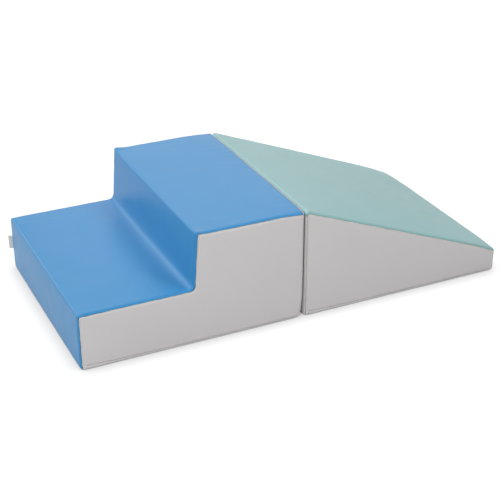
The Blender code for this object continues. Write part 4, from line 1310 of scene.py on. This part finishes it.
def zip_pieces(prefix, x):
    """A block's zip along Y at x; its slider keeps the frame's own form."""
    low, high = ZIP_TAPE_Z, ZIP_TAPE_Z + ZIP_TAPE_THICKNESS
    inner = COIL_WIDTH / 2 + TAPE_GAP
    runs = []
    for word, side in (("front", -1), ("rear", 1)):
        near, far = x + side * inner, x + side * (inner + ZIP_TAPE_WIDTH)
        cord = x + side * (inner + ZIP_CORD_PLACE)
        profile = [
            (near, low), (cord, low - ZIP_CORD_RISE), (far, low),
            (far, high), (cord, high + ZIP_CORD_RISE), (near, high),
        ]
        piece = band(prefix + "_zip_cloth_" + word, profile, ZIP_TAPE_HALF, zip_cloth)
        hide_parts(prefix + "_zip_tape_" + word)
        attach(piece, prefix + "_block")
        row = x + side * (inner + ZIP_STITCH_PLACE)
        line = [(row, y, 0) for y in np.linspace(-COIL_HALF, COIL_HALF, NEEDLE_POINTS)]
        runs.append(meet(piece, line, (0, 0, 1)))
    coil = new_piece(prefix + "_zip_coil", coil_mesh(prefix + "_zip_coil", x), coil_nylon)
    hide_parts(prefix + "_zip_chain")
    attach(coil, prefix + "_block")
    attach(stitches(prefix + "_zip_stitches", runs, tape_thread), prefix + "_block")
    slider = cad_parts[prefix + "_zip_slider"]
    slider.data.materials.clear()
    slider.data.materials.append(slider_metal)
    rounded = slider.modifiers.new("cast edges", "BEVEL")
    rounded.width = SLIDER_ROUNDING
    rounded.segments = 2


zip_pieces("steps", steps_zip_x)


# Ramp block: a foam wedge in its own cover, as long as the steps block. The mint strip
# rolls over the top edge and the low end, and the grey panels close the other faces.

MINT = (0.248, 0.486, 0.497)
RAMP_HEIGHT = 0.306
LIP_HEIGHT = 0.067
LIP_X = RAMP_BACK_X + RAMP_LENGTH
SLOPE_CROWN = 0.0040
LIP_CROWN = 0.0015
LIP_TUCK = 0.0035
LIP_TUCK_REACH = 0.075
SLOPE = math.atan2(RAMP_HEIGHT - LIP_HEIGHT, RAMP_LENGTH)
SLOPE_DEG = math.degrees(SLOPE)
SLOPE_EDGE_RADIUS = 0.0090
TOP_DROP = SLOPE_EDGE_RADIUS * math.tan((math.pi / 2 + SLOPE) / 2) + SEAM_RUN
LIP_DROP = EDGE_RADIUS_AT_SEAM * math.tan((math.pi / 2 - SLOPE) / 2) + SEAM_RUN
RAMP_OUTLINE = [(RAMP_BACK_X, 0), (RAMP_BACK_X, RAMP_HEIGHT), (LIP_X, LIP_HEIGHT), (LIP_X, 0)]


def swell_ramp(points):
    """Points of the ramp block moved out as the stuffed cover bulges."""
    x, y, z = points.T
    across = bump(y, -HALF_WIDTH, HALF_WIDTH)
    along = np.clip((x - RAMP_BACK_X) / RAMP_LENGTH, 0, 1)
    slope = RAMP_HEIGHT + (LIP_HEIGHT - RAMP_HEIGHT) * along
    high = np.clip(z / slope, 0, 1) ** 2
    lift = SLOPE_CROWN * bump(x, RAMP_BACK_X, LIP_X) * high * across
    push = LIP_CROWN * bump(z, 0, LIP_HEIGHT) * along ** 8 * across
    droop = corner_droop(points, LIP_X, LIP_HEIGHT)
    tuck = np.exp(-((LIP_X - x) ** 2 + (HALF_WIDTH - y) ** 2) / LIP_TUCK_REACH ** 2)
    tuck = LIP_TUCK * tuck * np.clip(z / LIP_HEIGHT, 0, 1)
    return points + np.stack([
        push + lift * math.sin(SLOPE) - tuck,
        side_swell(points, RAMP_OUTLINE),
        lift * math.cos(SLOPE) - droop,
    ], 1)


def slope_line(y):
    """The mint strip's outline at y: over the top edge, down the slope, over the lip."""
    return trace(
        [
            (RAMP_BACK_X, RAMP_HEIGHT - TOP_DROP),
            (RAMP_BACK_X, RAMP_HEIGHT),
            (LIP_X, LIP_HEIGHT),
            (LIP_X, LIP_HEIGHT - LIP_DROP),
        ],
        [
            round_bend(edge_radius(y, SLOPE_EDGE_RADIUS), 90 + SLOPE_DEG),
            round_bend(edge_radius(y), 90 - SLOPE_DEG),
        ],
        [1, 120, 1],
        bend_count=12,
    )


def ramp_back_line(y):
    """The ramp's back outline, the same at every y, from the base up."""
    foot = BASE_LIFT + BASE_ROLL
    top = RAMP_HEIGHT - TOP_DROP - SEAM_GAP
    body = trace([(RAMP_BACK_X, foot), (RAMP_BACK_X, top)], [], [44])
    return joined(wall_foot(RAMP_BACK_X, -1, True), body)


def lip_line(y):
    """The low end's outline, the same at every y, down to the base."""
    foot = BASE_LIFT + BASE_ROLL
    top = LIP_HEIGHT - LIP_DROP - SEAM_GAP
    body = trace([(LIP_X, top), (LIP_X, foot)], [], [10])
    return joined(body, wall_foot(LIP_X, 1, False))


drop = FOAM_INSET / math.cos(SLOPE)
fall = FOAM_INSET * math.tan(SLOPE)
wedge_back = RAMP_BACK_X + FOAM_INSET
wedge_lip = LIP_X - FOAM_INSET
wedge = trace(
    [
        (wedge_back + FOAM_BASE_RADIUS * 2, foam_base),
        (wedge_back, foam_base),
        (wedge_back, RAMP_HEIGHT - drop - fall),
        (wedge_lip, LIP_HEIGHT - drop + fall),
        (wedge_lip, foam_base),
        (wedge_lip - FOAM_BASE_RADIUS * 2, foam_base),
    ],
    [
        round_bend(FOAM_BASE_RADIUS),
        round_bend(FOAM_EDGE_RADIUS, 90 + SLOPE_DEG),
        round_bend(FOAM_EDGE_RADIUS, 90 - SLOPE_DEG),
        round_bend(FOAM_BASE_RADIUS),
    ],
    [1, 1, 1, 1, 1],
    bend_count=5,
)[0]
wedge_foam = foam_block("ramp_foam", wedge, lambda middle: False, swell_ramp, foam)
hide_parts("ramp_foam_wedge")
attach(wedge_foam, "ramp_block")

mint = vinyl_finish("mint vinyl", MINT, 0.62)
for name, line_at, seams, finish, seed, node_name, flat, slot in (
    ("ramp_slope", slope_line, (True, True), mint, 11, "ramp_slope_strip", (0.64, 0.68), "mint_vinyl"),
    ("ramp_back", ramp_back_line, (False, True), grey, 13, "ramp_back_panel", (0.64, 0.29), "grey_vinyl"),
    ("ramp_lip", lip_line, (True, False), grey, 17, "ramp_lip_panel", (0.64, 0.06), "grey_vinyl"),
):
    strip = new_piece(name, strip_mesh(name, line_at, seams, swell_ramp, seed), finish)
    if name == "ramp_slope":
        settle(strip, seed)
    thicken(strip)
    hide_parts(node_name)
    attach(strip, "ramp_block")

near_side, far_side = side_panels(
    "ramp",
    [ramp_back_line(0), slope_line(HALF_WIDTH), lip_line(0)],
    [
        ((RAMP_BACK_X, 0), (-1, 0)),
        ((RAMP_BACK_X, RAMP_HEIGHT), (math.sin(SLOPE), math.cos(SLOPE))),
        ((LIP_X, 0), (1, 0)),
    ],
    swell_ramp,
    23,
)

runs = [
    side_hem(near_side, -1, RAMP_BACK_X, LIP_X),
    side_hem(far_side, 1, RAMP_BACK_X, LIP_X),
    end_hem(bpy.data.objects["ramp_back"], RAMP_BACK_X, 1),
    end_hem(bpy.data.objects["ramp_lip"], LIP_X, -1),
]
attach(stitches("ramp_hem_stitches", runs, grey_thread), "ramp_block")


# Loop strips, base panels and zip of the ramp block, made as those of the steps block.
# The loops are a soft brushed pile.

loops = pile_finish("loop tape", PILE_BLACK, 900, 0.0010, 0.95)
fastening_strips("ramp", "loop", RAMP_BACK_X - TAPE_GAP, -1, loops)

ramp_zip_x = RAMP_BACK_X + ZIP_INSET
base_panels("ramp", RAMP_BACK_X, ramp_zip_x, LIP_X, 3)
zip_pieces("ramp", ramp_zip_x)


# Studio: a wide pale floor and surround that the camera and the sheen see as white, with a painted contact
# shadow on the floor round the object, broad soft lamps behind, overhead and to the left, and two that fill
# the front.

FOCAL_PX = 1189.8
PICTURE_PX = 500
SENSOR_MM = 36
CAMERA_SIGHT = 50
CAMERA_PLACE = (-1.2847, -2.6965, 1.6148)
CAMERA_TURN = math.radians(25.298)
CAMERA_TILT = math.radians(27.560)
CAMERA_ROLL = math.radians(-0.051)
camera_data = bpy.data.cameras.new("camera")
camera = bpy.data.objects.new("camera", camera_data)
bpy.context.scene.collection.objects.link(camera)
bpy.context.scene.camera = camera
camera_data.sensor_width = SENSOR_MM
camera_data.lens = FOCAL_PX * SENSOR_MM / PICTURE_PX
camera_data.clip_end = CAMERA_SIGHT
level = Vector((math.sin(CAMERA_TURN), math.cos(CAMERA_TURN), 0))
ahead = level * math.cos(CAMERA_TILT) - Vector((0, 0, math.sin(CAMERA_TILT)))
right = Vector((math.cos(CAMERA_TURN), -math.sin(CAMERA_TURN), 0))
up = right.cross(ahead)
rolled_right = right * math.cos(CAMERA_ROLL) + up * math.sin(CAMERA_ROLL)
rolled_up = up * math.cos(CAMERA_ROLL) - right * math.sin(CAMERA_ROLL)
axes = Matrix((rolled_right, rolled_up, -ahead)).transposed().to_4x4()
camera.matrix_world = Matrix.Translation(CAMERA_PLACE) @ axes


def seen_rays(node):
    """1 for what the camera sees, straight, mirrored or through glass, otherwise 0."""
    rays = node("ShaderNodeLightPath").outputs
    larger = {"operation": "MAXIMUM"}
    mirrored = node("ShaderNodeMath", larger, i0=rays["Is Camera Ray"], i1=rays["Is Glossy Ray"])
    through = rays["Is Transmission Ray"]
    return node("ShaderNodeMath", larger, i0=mirrored.outputs["Value"], i1=through).outputs["Value"]


FLOOR_SHADE = 0.60
SEEN_SHADE = 0.12
FLOOR_GLOW = 0.98
PAINTED_SHADOW_REACH = 0.05
PAINTED_SHADOW_POWER = 0.5
FLOOR_HALF = 9
floor_mesh = bpy.data.meshes.new("floor")
floor_corners = [(x * FLOOR_HALF, y * FLOOR_HALF, 0) for x, y in ((-1, -1), (1, -1), (1, 1), (-1, 1))]
floor_mesh.from_pydata(floor_corners, [], [(0, 1, 2, 3)])
floor_finish, floor_shader, floor_node, floor_link = new_finish("studio floor", (FLOOR_SHADE,) * 3, 0.7)
floor_shader.inputs["Specular IOR Level"].default_value = 0
# The floor's glow is dimmed by an occlusion pass near the object: this is a painted contact shadow.
floor_shadow_occlusion = floor_node("ShaderNodeAmbientOcclusion", {"samples": 8, "in_Distance": PAINTED_SHADOW_REACH})
painted_shadow_factor = floor_node("ShaderNodeMath", {"operation": "POWER"}, i0=floor_shadow_occlusion.outputs["AO"])
painted_shadow_factor.inputs[1].default_value = PAINTED_SHADOW_POWER
bright = floor_node("ShaderNodeMath", {"operation": "MULTIPLY"}, i0=painted_shadow_factor.outputs["Value"])
bright.inputs[1].default_value = FLOOR_GLOW
seen = seen_rays(floor_node)
shade = floor_node("ShaderNodeMapRange", {"in_To_Min": FLOOR_SHADE, "in_To_Max": SEEN_SHADE}, Value=seen)
floor_link(shade.outputs["Result"], floor_shader.inputs["Base Color"])
glow = floor_node("ShaderNodeMath", {"operation": "MULTIPLY"}, i0=seen, i1=bright.outputs["Value"])
floor_shader.inputs["Emission Color"].default_value = (1, 1, 1, 1)
floor_link(glow.outputs["Value"], floor_shader.inputs["Emission Strength"])
floor = new_piece("floor", floor_mesh, floor_finish)
floor.location.z = -BASE_LIFT

world = bpy.data.worlds.new("surround")
bpy.context.scene.world = world
world.use_nodes = True
surround = world.node_tree.nodes["Background"]
surround.inputs["Color"].default_value = (1, 1, 1, 1)
world.node_tree.links.new(seen_rays(node_helper(world.node_tree)), surround.inputs["Strength"])


def lamp(name, place, size, power):
    """A square area lamp that points at the middle of the object."""
    data = bpy.data.lights.new(name, "AREA")
    data.energy = power
    data.size = size
    obj = bpy.data.objects.new(name, data)
    bpy.context.scene.collection.objects.link(obj)
    obj.location = place
    obj.rotation_mode = "QUATERNION"
    obj.rotation_quaternion = (Vector((0, 0, 0.1)) - Vector(place)).to_track_quat("-Z", "Y")


lamp("back left lamp", (-2.6, 2.9, 2.9), 4.0, 140)
lamp("overhead back lamp", (0.6, 2.6, 3.5), 3.2, 34)
lamp("far back lamp", (2.0, 4.3, 2.5), 3.6, 26)
lamp("front lamp", (0, -3.8, 2.0), 3.0, 17)
lamp("near lamp", (-2.0, -3.0, 1.6), 2.8, 75)
lamp("overhead near lamp", (1.2, -1.6, 2.7), 1.4, 35)
bpy.context.scene.view_settings.view_transform = "Standard"
